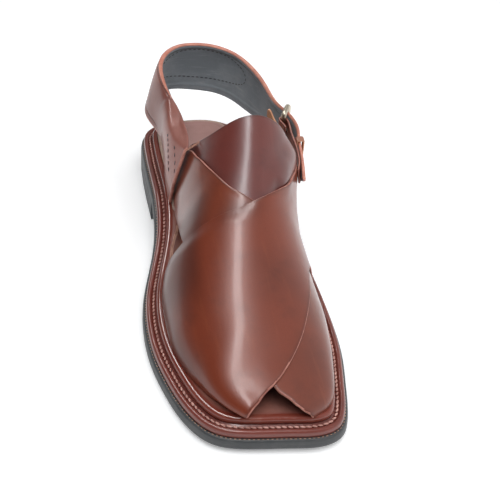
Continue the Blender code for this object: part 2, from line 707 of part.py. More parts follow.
def main():
    """Build every piece."""
    for old in list(bpy.data.objects):
        bpy.data.objects.remove(old, do_unlink=True)
    parts = bpy.data.collections.new(OBJECT_NAME)
    bpy.context.scene.collection.children.link(parts)
    tools = bpy.data.collections.new("cutters")
    bpy.context.scene.collection.children.link(tools)

    heel = plate("heel_lift", parts,
                 ((0.5, 0.0), (0.0, 0.6), (0.6, HEEL_LIFT_HEIGHT - GAP)), ground, 20, 3,
                 HEEL_BREAST)
    outsole = plate("outsole", parts,
                    ((0.7, 0.0), (0.0, 0.7), (1.2, OUTSOLE_THICK)), underside, 44, 3)
    midsole = plate("midsole", parts,
                    ((MIDSOLE_INSET, 0.0), (MIDSOLE_INSET, 2.6), (MIDSOLE_INSET + 0.5, 3.6),
                     (MIDSOLE_INSET + 1.5, MIDSOLE_THICK)), midsole_base, 44, 3)
    insole = plate("insole", parts,
                   ((INSOLE_INSET, 0.0), (INSOLE_INSET, 1.8), (INSOLE_INSET + 0.5, 2.7),
                    (INSOLE_INSET + 1.5, INSOLE_THICK)), insole_base, 44, 3)
    under_in = TONGUE_WALL + GAP
    under_out = under_in + UNDER_WALL
    over_in = under_out - LAYER_OVERLAP
    over_out = over_in + OVER_WALL
    tongue = strap_sheet("tongue", parts, TONGUE_REAR, TONGUE_FRONT, 0.1, 0.9,
                         0.0, TONGUE_WALL, 20, 10, GAP)
    upper = strap_sheet("upper", parts, OVER_REAR, OVER_FRONT, 0.0, 1.0,
                        over_in, over_out, 28, 15, 2.0 * GAP)
    under = strap_sheet("under_strap", tools, UNDER_REAR, UNDER_FRONT, 0.0, 1.0,
                        under_in, under_out, 28, 15, GAP)
    boolean(upper, under, "UNION")
    strap = heel_strap(parts)
    holder = folded_band("buckle_holder", parts, HOLDER, HOLDER_WALL)
    frame = ring_wire("buckle_frame", parts, BUCKLE, BUCKLE_WIRE, 10, 2.4)
    prong = tube("buckle_prong", parts, PRONG, PRONG_RADIUS, 8)
    loop = keeper(parts)
    hole = box("prong_hole", tools, (-52.0, 82.6, 62.5), (-45.9, 93.4, 65.5))
    boolean(strap, hole, "DIFFERENCE")
    slot = box("holder_slot", tools, (-47.0, 84.0, 62.4), (-38.4, 97.0, 65.6))
    boolean(holder, slot, "DIFFERENCE")
    for tool in (under, hole, slot):
        bpy.data.objects.remove(tool, do_unlink=True)
    looks = (
        (heel, material("heel_rubber", (0.02, 0.022, 0.025), 0.45, 0.0)),
        (outsole, material("outsole_rubber", (0.02, 0.022, 0.025), 0.4, 0.0)),
        (midsole, material("welt_leather", (0.16, 0.05, 0.035), 0.3, 0.0)),
        (insole, material("insole_leather", (0.25, 0.15, 0.12), 0.5, 0.0)),
        (tongue, material("tongue_leather", (0.11, 0.035, 0.03), 0.3, 0.0)),
        (upper, material("upper_leather", (0.16, 0.045, 0.03), 0.25, 0.0)),
        (strap, material("strap_leather", (0.18, 0.06, 0.04), 0.3, 0.0)),
        (holder, material("holder_leather", (0.17, 0.055, 0.04), 0.3, 0.0)),
        (loop, material("keeper_leather", (0.3, 0.16, 0.09), 0.5, 0.0)),
        (frame, material("buckle_metal", (0.6, 0.52, 0.4), 0.25, 1.0)),
        (prong, material("prong_metal", (0.6, 0.52, 0.4), 0.25, 1.0)),
    )
    for obj, mat in looks:
        obj.data.materials.append(mat)
        place(obj)


main()
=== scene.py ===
"""Looks of the crossed-strap sandal: leather skins, rope-stitched sole, buckle and studio.

Sizes are in millimetres in the maker's frame: X to the outer side of the right foot,
Y from the heel to the toe, Z up.  to_row() turns them into the stored frame in metres.
"""

import logging
import math
from dataclasses import dataclass
from enum import Enum
from typing import Any, Callable, Sequence

import bmesh
import bpy
import numpy as np
from mathutils import Matrix, Vector

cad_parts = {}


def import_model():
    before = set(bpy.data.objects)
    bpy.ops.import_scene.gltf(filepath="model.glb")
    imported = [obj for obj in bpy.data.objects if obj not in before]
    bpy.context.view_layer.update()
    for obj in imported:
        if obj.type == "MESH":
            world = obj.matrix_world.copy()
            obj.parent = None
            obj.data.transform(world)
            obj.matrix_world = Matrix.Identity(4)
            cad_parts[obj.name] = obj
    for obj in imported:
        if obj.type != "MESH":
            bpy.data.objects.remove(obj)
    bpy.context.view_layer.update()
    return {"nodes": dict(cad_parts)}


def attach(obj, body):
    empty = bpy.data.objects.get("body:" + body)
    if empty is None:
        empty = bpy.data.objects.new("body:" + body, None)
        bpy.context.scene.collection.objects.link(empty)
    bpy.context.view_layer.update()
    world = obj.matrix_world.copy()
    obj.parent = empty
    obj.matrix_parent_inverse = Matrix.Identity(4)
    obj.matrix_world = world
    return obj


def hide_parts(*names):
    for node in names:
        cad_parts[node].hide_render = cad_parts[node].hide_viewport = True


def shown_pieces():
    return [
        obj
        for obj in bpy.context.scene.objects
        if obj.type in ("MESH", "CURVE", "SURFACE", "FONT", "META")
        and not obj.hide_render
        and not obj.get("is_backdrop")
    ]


LOG = logging.getLogger("sandal")
MM = 0.001
CENTRE_ACROSS = 6.67
CENTRE_ALONG = 145.77
BODY = "root"
EDGE_STEPS = (0.0, 0.07, 0.2, 0.42, 0.75, 1.3, 2.1)
EDGE_ROWS = 4
EDGE_BULGE = 0.10
UP = np.array([0.0, 0.0, 1.0])

Grid = np.ndarray
Piece = bpy.types.Object
Socket = bpy.types.NodeSocket
Colour = tuple[float, float, float]
Place = tuple[float, float, float]
Table = tuple[tuple[float, ...], ...]


def to_row(points: Grid) -> Grid:
    """Turn maker's-frame points, mm, into the stored frame, m.

    Args:
        points: array whose last axis is across, along, up.

    Returns:
        The same array in metres with the toe towards -Y.
    """
    out = np.array(points, float)
    out[..., 0] = CENTRE_ACROSS - out[..., 0]
    out[..., 1] = CENTRE_ALONG - out[..., 1]
    return out * MM


# ---- curves


def spline(t: Sequence[float], rows: Any, u: Any, closed: bool = False) -> Grid:
    """Cubic spline through rows at parameters t.

    Args:
        t: rising parameter of each row.
        rows: values, one row per parameter.
        u: parameters to evaluate.
        closed: True where the last row repeats the first.

    Returns:
        One row of values for each u.
    """
    t = np.asarray(t, float)
    p = np.asarray(rows, float)
    n = len(p)
    h = np.diff(t)
    slope = np.diff(p, axis=0) / h[:, None]
    a = np.eye(n)
    b = np.zeros_like(p)
    for i in range(1, n - 1):
        a[i, i - 1 : i + 2] = h[i - 1], 2 * (h[i - 1] + h[i]), h[i]
        b[i] = 6 * (slope[i] - slope[i - 1])
    if closed:
        a[0, [-2, 0, 1]] = h[-1], 2 * (h[-1] + h[0]), h[0]
        b[0] = 6 * (slope[0] - slope[-1])
        a[-1, 0] = -1.0
    curve = np.linalg.solve(a, b)
    u = np.clip(u, t[0], t[-1])
    k = np.clip(np.searchsorted(t, u, side="right") - 1, 0, n - 2)
    hk = h[k][..., None]
    left = (t[k + 1] - u)[..., None]
    right = (u - t[k])[..., None]
    out = (curve[k] * left**3 + curve[k + 1] * right**3) / (6 * hk)
    out += (p[k] / hk - curve[k] * hk / 6) * left
    out += (p[k + 1] / hk - curve[k + 1] * hk / 6) * right
    return out


def eased(table: Sequence[Sequence[float]], x: Any, column: int = 1) -> Grid:
    """Monotone cubic through a short table, without overshoot.

    Args:
        table: rows whose first number is the place.
        x: places to evaluate.
        column: which number of each row is wanted.

    Returns:
        Values at x.
    """
    xs = np.array([row[0] for row in table], float)
    ys = np.array([row[column] for row in table], float)
    x = np.clip(x, xs[0], xs[-1])
    h = np.diff(xs)
    slope = np.diff(ys) / h
    grad = np.zeros(len(xs))
    grad[0], grad[-1] = slope[0], slope[-1]
    for i in range(1, len(xs) - 1):
        if slope[i - 1] * slope[i] > 0.0:
            w1 = 2 * h[i] + h[i - 1]
            w2 = h[i] + 2 * h[i - 1]
            grad[i] = (w1 + w2) / (w1 / slope[i - 1] + w2 / slope[i])
    k = np.clip(np.searchsorted(xs, x, side="right") - 1, 0, len(xs) - 2)
    t = (x - xs[k]) / h[k]
    a = ys[k] * (2 * t**3 - 3 * t**2 + 1) + grad[k] * h[k] * (t**3 - 2 * t**2 + t)
    b = ys[k + 1] * (3 * t**2 - 2 * t**3) + grad[k + 1] * h[k] * (t**3 - t**2)
    return a + b


def ramp(x: Any, low: float, high: float) -> Grid:
    """Soft step from 0 at low to 1 at high."""
    t = np.clip((x - low) / (high - low), 0, 1)
    return t * t * (3 - 2 * t)


def running_length(points: Grid) -> Grid:
    """Distance along a polyline from its first point."""
    step = np.linalg.norm(np.diff(points, axis=0), axis=1)
    return np.concatenate([[0.0], np.cumsum(step)])


def even_points(points: Grid, count: int) -> Grid:
    """Points at even distances along a polyline.

    Args:
        points: the polyline.
        count: how many points to return.

    Returns:
        Array of count points, both ends included.
    """
    s = running_length(points)
    u = np.linspace(0, s[-1], count)
    return np.stack([np.interp(u, s, points[:, k]) for k in range(points.shape[1])], 1)


def unit(vectors: Grid) -> Grid:
    """Vectors scaled to length one."""
    size = np.linalg.norm(vectors, axis=-1)[..., None]
    return vectors / np.maximum(size, 1e-12)


def reach_to(points: Grid, line: Grid) -> tuple[Grid, Grid]:
    """Distance from points to the nearest point of a dense line.

    Args:
        points: any grid of points.
        line: points of the line, close together.

    Returns:
        The distances and the number of the nearest line point.
    """
    flat = points.reshape(-1, points.shape[-1])
    near, which = [], []
    for part in np.array_split(flat, len(flat) // 4000 + 1):
        d = np.linalg.norm(part[:, None] - line, axis=2)
        near.append(d.min(1))
        which.append(d.argmin(1))
    shape = points.shape[:-1]
    return np.concatenate(near).reshape(shape), np.concatenate(which).reshape(shape)


def bump(*ways: Any) -> Grid:
    """A round bump: 1 where every number is 0, fading as they grow."""
    return np.exp(-sum(np.square(way) for way in ways))


def rounded_box(low: Sequence[float], high: Sequence[float], r: float, steps: int) -> Grid:
    """Outline of a flat box whose four corners are quarter circles.

    Args:
        low, high: lowest and highest corner, in two directions.
        r: radius of the corners.
        steps: points on each corner.

    Returns:
        Points of the outline.
    """
    (x0, y0), (x1, y1) = low, high
    middles = np.array([(x1 - r, y1 - r), (x0 + r, y1 - r), (x0 + r, y0 + r), (x1 - r, y0 + r)])
    turn = np.radians(90 * (np.arange(4)[:, None] + np.linspace(0, 1, steps)))
    return (middles[:, None] + r * np.stack([np.cos(turn), np.sin(turn)], -1)).reshape(-1, 2)


# ---- meshes


class Side(Enum):
    """Material place of a leather skin's faces."""

    FACE = 0
    BACK = 1
    EDGE = 2
    RAW = 3


def placed(name: str, data: bpy.types.ID) -> Piece:
    """Put a mesh, a lamp or a camera into the scene.

    Args:
        name: the object's name.
        data: what the object shows.

    Returns:
        The new object.
    """
    obj = bpy.data.objects.new(name, data)
    bpy.context.scene.collection.objects.link(obj)
    return obj


def made_plain(obj: Piece) -> Piece:
    """Turn what a piece's modifiers make into its own mesh.

    Args:
        obj: the piece.

    Returns:
        The same piece, without modifiers.
    """
    graph = bpy.context.evaluated_depsgraph_get()
    graph.update()
    mesh = bpy.data.meshes.new_from_object(obj.evaluated_get(graph))
    obj.modifiers.clear()
    obj.data = mesh
    return obj


def new_piece(
    name: str,
    verts: Any,
    faces: Sequence[Sequence[int]],
    slots: Sequence[int] | None = None,
    marks: dict[str, Grid] | None = None,
) -> Piece:
    """Make one smooth mesh object standing at the origin, its faces turned outwards.

    Args:
        name: the piece's name.
        verts: points in the maker's frame, mm.
        faces: loops of point numbers.
        slots: material place of each face, or None for 0.
        marks: float values per point to keep as attributes.

    Returns:
        The new object.
    """
    mesh = bpy.data.meshes.new(name)
    rows = to_row(np.asarray(verts, float)).tolist()
    mesh.from_pydata(rows, [], [tuple(int(i) for i in f) for f in faces])
    if slots is not None:
        mesh.polygons.foreach_set("material_index", np.asarray(slots, np.int32))
    for key, values in (marks or {}).items():
        layer = mesh.attributes.new(key, "FLOAT", "POINT")
        layer.data.foreach_set("value", np.asarray(values, np.float32).ravel())
    bm = bmesh.new()
    bm.from_mesh(mesh)
    bmesh.ops.remove_doubles(bm, verts=bm.verts, dist=1e-7)
    bmesh.ops.recalc_face_normals(bm, faces=bm.faces)
    bm.to_mesh(mesh)
    bm.free()
    mesh.polygons.foreach_set("use_smooth", np.ones(len(mesh.polygons), bool))
    mesh.update()
    return placed(name, mesh)


def dress(obj: Piece, slot: str, *finishes: "Finish") -> Piece:
    """Give a piece its materials and its body.

    Args:
        obj: the piece.
        slot: not used.
        finishes: one for each material place.

    Returns:
        The same piece.
    """
    for place, finish in enumerate(finishes):
        if place == len(obj.data.materials):
            obj.data.materials.append(None)
        obj.data.materials[place] = finish.make()
    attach(obj, BODY)
    return obj


def cut_out(obj: Piece, low: Sequence[float], high: Sequence[float], r: float) -> None:
    """Cut a rounded window through a piece.

    Args:
        obj: the piece to cut.
        low, high: lowest and highest corner of the window's box, mm.
        r: radius of the window's corners, mm.
    """
    ring = rounded_box(low[1:], high[1:], r, 6)
    n = len(ring)
    verts = np.vstack([np.insert(ring, 0, corner[0], axis=1) for corner in (low, high)])
    near = np.arange(n)
    faces = [near.tolist(), (near[::-1] + n).tolist(), *hoops(near, near + n).tolist()]
    tool = new_piece(obj.name + "_window", verts, faces)
    tool.data.polygons.foreach_set("use_smooth", np.zeros(len(tool.data.polygons), bool))
    mod = obj.modifiers.new("window", "BOOLEAN")
    mod.solver = "EXACT"
    mod.operation = "DIFFERENCE"
    mod.object = tool
    made_plain(obj)
    bpy.data.objects.remove(tool, do_unlink=True)


def hoops(first: Grid, second: Grid) -> Grid:
    """Quads between two closed loops of point numbers, or between two stacks of loops."""
    quads = np.stack([first, np.roll(first, -1, -1), np.roll(second, -1, -1), second], -1)
    return quads.reshape(-1, 4)


def capped(
    loops: Sequence[Grid],
    last: int,
    columns: int,
    settle: Callable[[Grid, int], Grid] | None = None,
) -> tuple[Grid, list[Any]]:
    """Join stacked loops of points, and close the first and the last with a woven cap.

    Args:
        loops: rings of n points whose points k and n - k face each other across a cap.
        last: number of the point where a cap's last row starts.
        columns: columns across a cap.
        settle: moves a cap's inner points, given them and their loop's number, or None.

    Returns:
        The loops' points and then the caps', and the faces in the same order.
    """
    n = len(loops[0])
    idx = np.arange(len(loops) * n).reshape(-1, n)
    faces = hoops(idx[:-1], idx[1:]).tolist()
    points = list(loops)
    total = idx.size
    r = np.arange(1, last)
    share = (np.arange(1, columns) / columns)[None, :, None]
    for k in (0, len(loops) - 1):
        a, b = loops[k][r], loops[k][n - r]
        inside = a[:, None] + (b - a)[:, None] * share
        inside = settle(inside, k) if settle else inside
        number = total + np.arange(len(r) * (columns - 1)).reshape(len(r), -1)
        total += number.size
        points.append(inside.reshape(-1, 3))
        first = np.full((1, columns + 1), k * n)
        rows = np.concatenate([r[:, None] + k * n, number, n - r[:, None] + k * n], 1)
        end = np.rint(np.linspace(last, n - last, columns + 1)).astype(int) + k * n
        grid = np.vstack([first, rows, end[None]])
        quads = np.stack([grid[:-1, :-1], grid[1:, :-1], grid[1:, 1:], grid[:-1, 1:]], -1)
        faces += [tuple(dict.fromkeys(quad)) for quad in quads.reshape(-1, 4).tolist()]
    return np.concatenate(points), faces


@dataclass
class Skin:
    """A piece of leather: a face, a back and a cut or folded edge.

    Attributes:
        face: grid of points on the outer face, mm.
        wall: thickness, mm; it, back_lip and the painted shade are one number or one for each point.
        rounding: how far the edge is rounded over, mm.
        near: distance of each point from the nearest edge, mm.
        inward: True where the grid's own normals point into the foot.
        ragged: how far the cut edge's fibres, fixed by the seed, stand out, mm.
        mark: distance used for the finish, where it differs from near, mm.
        lip: width of the face's margin that is cut leather too; back_lip is the back's, mm.
        tone: how far the colour is darkened as painted shade, 0 to 1.
        dyed: grid rows whose first edge keeps the face's finish.
    """

    face: Grid
    wall: Any
    rounding: float
    near: Grid
    inward: bool = False
    ragged: float = 0.0
    seed: int = 1
    mark: Grid | None = None
    lip: float = 0.0
    back_lip: Any = 0.0
    tone: Any = 0.0
    dyed: float = 0.0

    def normals(self) -> Grid:
        """Outward normals of the face."""
        n = np.cross(np.gradient(self.face, axis=0), np.gradient(self.face, axis=1))
        return unit(n) * (-1.0 if self.inward else 1.0)

    def build(self, name: str) -> Piece:
        """Make the closed mesh.

        Args:
            name: the piece's name.

        Returns:
            The object, with face, back and edge material places.
        """
        n = self.normals()
        rows, cols, _ = self.face.shape
        wall = np.broadcast_to(self.wall, (rows, cols))
        r = np.minimum(self.rounding, wall * 0.5)
        inside = np.clip(r - self.near, 0, None)
        drop = (r - np.sqrt(np.maximum(r**2 - inside**2, 0.0)))[..., None]
        top = (self.face - n * drop).reshape(-1, 3)
        low = (self.face - n * (wall[..., None] - drop)).reshape(-1, 3)
        idx = np.arange(wall.size).reshape(rows, cols)
        quads = np.stack([idx[:-1, :-1], idx[:-1, 1:], idx[1:, 1:], idx[1:, :-1]], -1).reshape(-1, 4)
        total = idx.size
        faces = [quads, quads[:, ::-1] + total]
        shade = self.near if self.mark is None else self.mark
        beyond = shade.ravel()[quads].max(1) <= self.lip
        margin = shade - self.back_lip
        places = ((Side.FACE, beyond), (Side.BACK, margin.ravel()[quads].max(1) <= 0.0))
        slots = [np.where(cut, Side.EDGE.value, side.value) for side, cut in places]
        rim = np.concatenate([idx[0, :-1], idx[:-1, -1], idx[-1, :0:-1], idx[:0:-1, 0]])
        ri, rj = np.divmod(rim, cols)
        beside = idx[np.clip(ri, 1, rows - 2), np.clip(rj, 1, cols - 2)]
        out = unit(top[rim] - top[beside])
        dice = np.random.default_rng(self.seed)
        points = [top, low]
        near = [shade.ravel(), shade.ravel()]
        rings = [rim]
        count = 2 * total
        for k in range(1, EDGE_ROWS):
            f = k / EDGE_ROWS
            loose = self.ragged * dice.uniform(-1.0, 1.0, len(rim))
            stand = EDGE_BULGE * math.sin(math.pi * f) + loose
            points.append(top[rim] * (1 - f) + low[rim] * f + out * stand[:, None])
            near.append(shade.ravel()[rim])
            rings.append(np.arange(count, count + len(rim)))
            count += len(rim)
        rings.append(rim + total)
        side = np.where((rj == 0) & (ri < self.dyed), Side.FACE.value, Side.EDGE.value)
        for a, b in zip(rings[:-1], rings[1:]):
            faces.append(hoops(a, b))
            slots.append(side)
        # painted shade per point, kept as an attribute for the leather shader
        tone = np.zeros(count)
        tone[:total] = np.broadcast_to(self.tone, (rows, cols)).ravel()
        marks = {"near_edge": np.concatenate(near), "tone": tone}
        return new_piece(name, *map(np.concatenate, (points, faces, slots)), marks)


def across_places(length: Grid, slant: Grid, count: int, steps: Sequence[float] = EDGE_STEPS) -> Grid:
    """Places across a strip, close together near both edges.

    Args:
        length: width of the strip at each column, mm.
        slant: how squarely the column meets the first and last edge, 0 to 1.
        count: rows between the two margins.
        steps: distances of the margin's rows from the edge, mm.

    Returns:
        A fraction of the width for each column and row.
    """
    out = []
    for width, (first, last) in zip(length, slant):
        rear = np.array(steps) / (width * first)
        front = np.array(steps) / (width * last)
        rear *= min(1.0, 0.3 / rear[-1])
        front *= min(1.0, 0.3 / front[-1])
        middle = np.linspace(rear[-1], 1 - front[-1], count + 2)[1:-1]
        out.append(np.concatenate([rear, middle, 1 - front[::-1]]))
    return np.array(out)


# ---- node recipes


class Tree:
    """A node tree that gets its nodes from one method."""

    def __init__(self, nodes: bpy.types.NodeTree) -> None:
        """Keep the tree and start it empty."""
        self.tree = nodes
        self.tree.nodes.clear()

    def put(self, socket: Socket, value: Any) -> None:
        """Link or set one socket.

        Args:
            socket: the socket.
            value: a number, a colour, a vector, a socket or a term.
        """
        if isinstance(value, Term):
            value = value.socket
        if isinstance(value, Socket):
            self.tree.links.new(value, socket)
        elif socket.type == "RGBA":
            socket.default_value = (*value, 1.0)
        else:
            socket.default_value = value

    def node(
        self, kind: str, settings: dict[str, Any] | None = None, values: dict[Any, Any] | None = None
    ) -> bpy.types.Node:
        """Add one node.

        Args:
            kind: the node's type.
            settings: properties, set before the sockets are used.
            values: what each socket gets, by its name or number.

        Returns:
            The node.
        """
        made = self.tree.nodes.new(kind)
        for key, value in (settings or {}).items():
            setattr(made, key, value)
        for key, value in (values or {}).items():
            self.put(made.inputs[key], value)
        return made

    def number(self, kind: str, settings: dict[str, Any] | None, values: dict[Any, Any]) -> "Term":
        """The first output of a new node."""
        return Term(self, self.node(kind, settings, values).outputs[0])

    def parts(self, vector: Socket) -> list["Term"]:
        """The three numbers of a vector."""
        split = self.node("ShaderNodeSeparateXYZ", None, {0: vector})
        return [Term(self, socket) for socket in split.outputs]


class Term:
    """One number of a recipe; sums and products of terms add Math nodes."""

    def __init__(self, recipe: Tree, socket: Socket) -> None:
        """Keep the recipe and the socket that carries the number."""
        self.recipe = recipe
        self.socket = socket

    def _math(self, operation: str, *values: Any) -> "Term":
        """Join values by one Math node."""
        settings = {"operation": operation}
        return self.recipe.number("ShaderNodeMath", settings, dict(enumerate(values)))

    def __add__(self, other: Any) -> "Term":
        """self + other."""
        return self._math("ADD", self, other)

    __radd__ = __add__

    def __sub__(self, other: Any) -> "Term":
        """self - other."""
        return self._math("SUBTRACT", self, other)

    def __rsub__(self, other: Any) -> "Term":
        """other - self."""
        return self._math("SUBTRACT", other, self)

    def __mul__(self, other: Any) -> "Term":
        """self * other."""
        return self._math("MULTIPLY", self, other)

    def __abs__(self) -> "Term":
        """Size of the number without its sign."""
        return self._math("ABSOLUTE", self)

    def smaller(self, other: Any) -> "Term":
        """The smaller of the two."""
        return self._math("MINIMUM", self, other)

    def to_and_fro(self, span: float) -> "Term":
        """Rise from 0 to span and fall back, again and again."""
        return self._math("PINGPONG", self, span)

    def soft_step(self, low: float, high: float) -> "Term":
        """Rise smoothly from 0 at low to 1 at high."""
        values = {"Value": self, "From Min": low, "From Max": high}
        return self.recipe.number("ShaderNodeMapRange", {"interpolation_type": "SMOOTHSTEP"}, values)

    def band(self, middle: float, half: float) -> "Term":
        """A soft bump of 1 at middle that ends half away on both sides."""
        return 1 - abs(self - middle).soft_step(0.0, half)


def tint(*display: float) -> Colour:
    """Turn display values, 0 to 255, into scene values."""
    v = np.array(display) / 255
    return tuple(np.where(v <= 0.04045, v / 12.92, ((v + 0.055) / 1.055) ** 2.4).tolist())


class Recipe(Tree):
    """A material built from a Principled shader."""

    def __init__(self, name: str) -> None:
        """Start a material with its output and shader.

        Args:
            name: the material's name.
        """
        self.material = bpy.data.materials.new(name)
        self.material.use_nodes = True
        super().__init__(self.material.node_tree)
        self.shader = self.node("ShaderNodeBsdfPrincipled")
        self.node("ShaderNodeOutputMaterial", None, {0: self.shader.outputs[0]})
        self.where = self.node("ShaderNodeTexCoord").outputs["Object"]

    def feed(self, name: str, value: Any) -> None:
        """Set or link one socket of the shader."""
        self.put(self.shader.inputs[name], value)

    def mark(self, name: str) -> Term:
        """A value kept on the mesh's points."""
        made = self.node("ShaderNodeAttribute", {"attribute_name": name})
        return Term(self, made.outputs["Fac"])

    def stretched(self, x: float, y: float, z: float) -> Socket:
        """Object coordinates scaled along each axis."""
        made = self.node("ShaderNodeMapping", None, {"Vector": self.where, "Scale": (x, y, z)})
        return made.outputs[0]

    def noise(self, scale: float, detail: float = 3.0, rough: float = 0.5, at: Any = None) -> Term:
        """Smooth noise of so many cells to the metre and so many octaves, about 0.5."""
        values = {"Vector": at or self.where, "Scale": scale, "Detail": detail, "Roughness": rough}
        return self.number("ShaderNodeTexNoise", None, values)

    def cells(self, scale: float) -> Term:
        """Distance to the nearest cell centre, for cells so many to the metre."""
        return self.number("ShaderNodeTexVoronoi", None, {"Vector": self.where, "Scale": scale})

    def mix(self, share: Any, first: Any, second: Any) -> Socket:
        """Mix a share of a second colour, or socket, into a first one."""
        made = self.node("ShaderNodeMix", {"data_type": "RGBA"}, {0: share, 6: first, 7: second})
        return made.outputs[2]

    def relief(self, height: Term, depth: float) -> None:
        """Lay a bump on the shader whose height of 1 is so many mm deep."""
        values = {"Strength": 1.0, "Distance": depth * MM, "Height": height}
        self.feed("Normal", self.node("ShaderNodeBump", None, values).outputs[0])


# ---- finishes


@dataclass(frozen=True)
class Finish:
    """A named finish that makes its own material."""

    name: str

    def make(self) -> bpy.types.Material:
        """Build the material.

        Returns:
            The finished material.
        """
        recipe = Recipe(self.name)
        self.fill(recipe)
        return recipe.material

    def fill(self, r: Recipe) -> None:
        """Mix the recipe; each finish says how."""
        raise NotImplementedError


@dataclass(frozen=True)
class PolishedLeather(Finish):
    """Smooth dyed leather with a waxed surface.

    The deep colour is that of clouds, edges and painted shade, the warm one shows where
    the dye is thin; grain, burnish and grooves are depth, reach and places of creased lines, mm.
    """

    base: Colour
    deep: Colour
    warm: Colour
    rough: float = 0.30
    coat: float = 0.3
    coat_rough: float = 0.13
    grain: float = 0.02
    burnish: float = 2.5
    shine: Colour = (1.0, 1.0, 1.0)
    level: float = 0.5
    grooves: tuple[float, ...] = ()

    def fill(self, r: Recipe) -> None:
        """Clouded dye, pores, dark edges, painted shade and a coat of wax.

        Args:
            r: the recipe to fill.
        """
        mottle = r.noise(70, 4, 0.6)
        grain = r.noise(1500, 3, 0.6)
        pores = r.cells(1100).soft_step(0, 0.55)
        clouds = r.noise(16).soft_step(0.45, 0.72) * 0.5 + mottle.soft_step(0.5, 0.75) * 0.25
        colour = r.mix(clouds, self.base, self.deep)
        streak = r.noise(40, 3, 0.6, r.stretched(6, 0.8, 1))
        colour = r.mix(streak.soft_step(0.52, 0.78) * 0.35, colour, self.warm)
        speck = (1 - pores) * 0.16 + grain.soft_step(0.5, 0.8) * 0.10
        colour = r.mix(speck, colour, self.deep)
        near = r.mark("near_edge")
        rim = (1 - near.soft_step(0.0, self.burnish)) * 0.6
        colour = r.mix(rim, colour, self.deep)
        # painted shade: the point attribute darkens the colour towards the deep colour and thins the
        # coat
        tone = r.mark("tone")
        colour = r.mix(tone * 0.75, colour, self.deep)
        height = pores * 0.45 + grain * 0.55
        for place in self.grooves:
            line = near.band(place, 0.55)
            colour = r.mix(line * 0.55, colour, self.deep)
            height = height - line * 2.2
        r.feed("Base Color", colour)
        r.feed("Roughness", self.rough + (mottle - 0.5) * 0.12 + grain * 0.06 + rim * 0.15)
        r.feed("Coat Weight", (1 - rim * 0.5) * (1 - tone * 0.8) * self.coat)
        r.feed("Coat Roughness", self.coat_rough)
        r.feed("Coat IOR", 1.45)
        r.feed("Specular IOR Level", self.level)
        r.feed("Specular Tint", self.shine)
        r.relief(height, self.grain)


@dataclass(frozen=True)
class RawEdge(Finish):
    """Cut leather edge, pale fibres with some dye rubbed in."""

    fibre: Colour
    dyed: Colour
    rough: float = 0.7
    share: float = 0.5

    def fill(self, r: Recipe) -> None:
        """Rubbed dye over fuzzy fibres.

        Args:
            r: the recipe to fill.
        """
        fuzz = r.noise(1800, 4, 0.7)
        patch = r.noise(110, 4, 0.65)
        colour = r.mix(patch.soft_step(0.35, 0.7) * self.share * 1.4, self.fibre, self.dyed)
        r.feed("Base Color", r.mix(fuzz.soft_step(0.5, 0.75) * 0.45, colour, self.dyed))
        r.feed("Roughness", self.rough + (fuzz - 0.5) * 0.2)
        r.feed("Specular IOR Level", 0.35)
        r.relief(fuzz, 0.12)


@dataclass(frozen=True)
class SuedeBack(Finish):
    """Flesh side of the leather or a soft lining: matt, napped, slightly streaked."""

    base: Colour
    deep: Colour
    light: Colour
    rough: float = 0.8
    sheen: float = 0.15
    streaks: float = 0.4
    nap: float = 0.08

    def fill(self, r: Recipe) -> None:
        """Broad patches, brushed streaks and a fine nap.

        Args:
            r: the recipe to fill.
        """
        broad = r.noise(30, 4, 0.6)
        fine = r.noise(900, 4, 0.7)
        brushed = r.noise(60, 4, 0.65, r.stretched(1, 1, 9))
        colour = r.mix(broad.soft_step(0.35, 0.7) * 0.6, self.base, self.deep)
        colour = r.mix(brushed.soft_step(0.5, 0.8) * self.streaks, colour, self.light)
        r.feed("Base Color", r.mix(fine.soft_step(0.5, 0.8) * 0.3, colour, self.deep))
        r.feed("Roughness", self.rough + (brushed - 0.5) * 0.16)
        r.feed("Sheen Weight", self.sheen)
        r.feed("Sheen Roughness", 0.5)
        r.feed("Specular IOR Level", 0.4)
        r.relief(fine * 0.7 + brushed * 0.3, self.nap)


@dataclass(frozen=True)
class InsoleLeather(Finish):
    """Insole: polished rounded rim round a dull, darkened foot bed."""

    rim: Colour
    bed: Colour
    worn: Colour
    bed_from: float
    fade: float = 2.2

    def fill(self, r: Recipe) -> None:
        """Rim colour and coat outside, worn bed inside.

        Args:
            r: the recipe to fill.
        """
        inner = r.mark("near_edge").soft_step(self.bed_from, self.bed_from + self.fade)
        nap = r.noise(800, 4, 0.7)
        broad = r.noise(28, 3, 0.6)
        bed = r.mix(broad.soft_step(0.35, 0.7) * 0.6, self.bed, self.worn)
        bed = r.mix(nap.soft_step(0.5, 0.8) * 0.4, bed, self.bed)
        rim = r.mix(r.noise(90, 4).soft_step(0.5, 0.75) * 0.35, self.rim, self.bed)
        r.feed("Base Color", r.mix(inner, rim, bed))
        r.feed("Roughness", 0.2 + inner * 0.5 + (nap - 0.5) * 0.12)
        r.feed("Coat Weight", (1 - inner) * 0.7)
        r.feed("Coat Roughness", 0.08)
        r.relief(nap, 0.06)


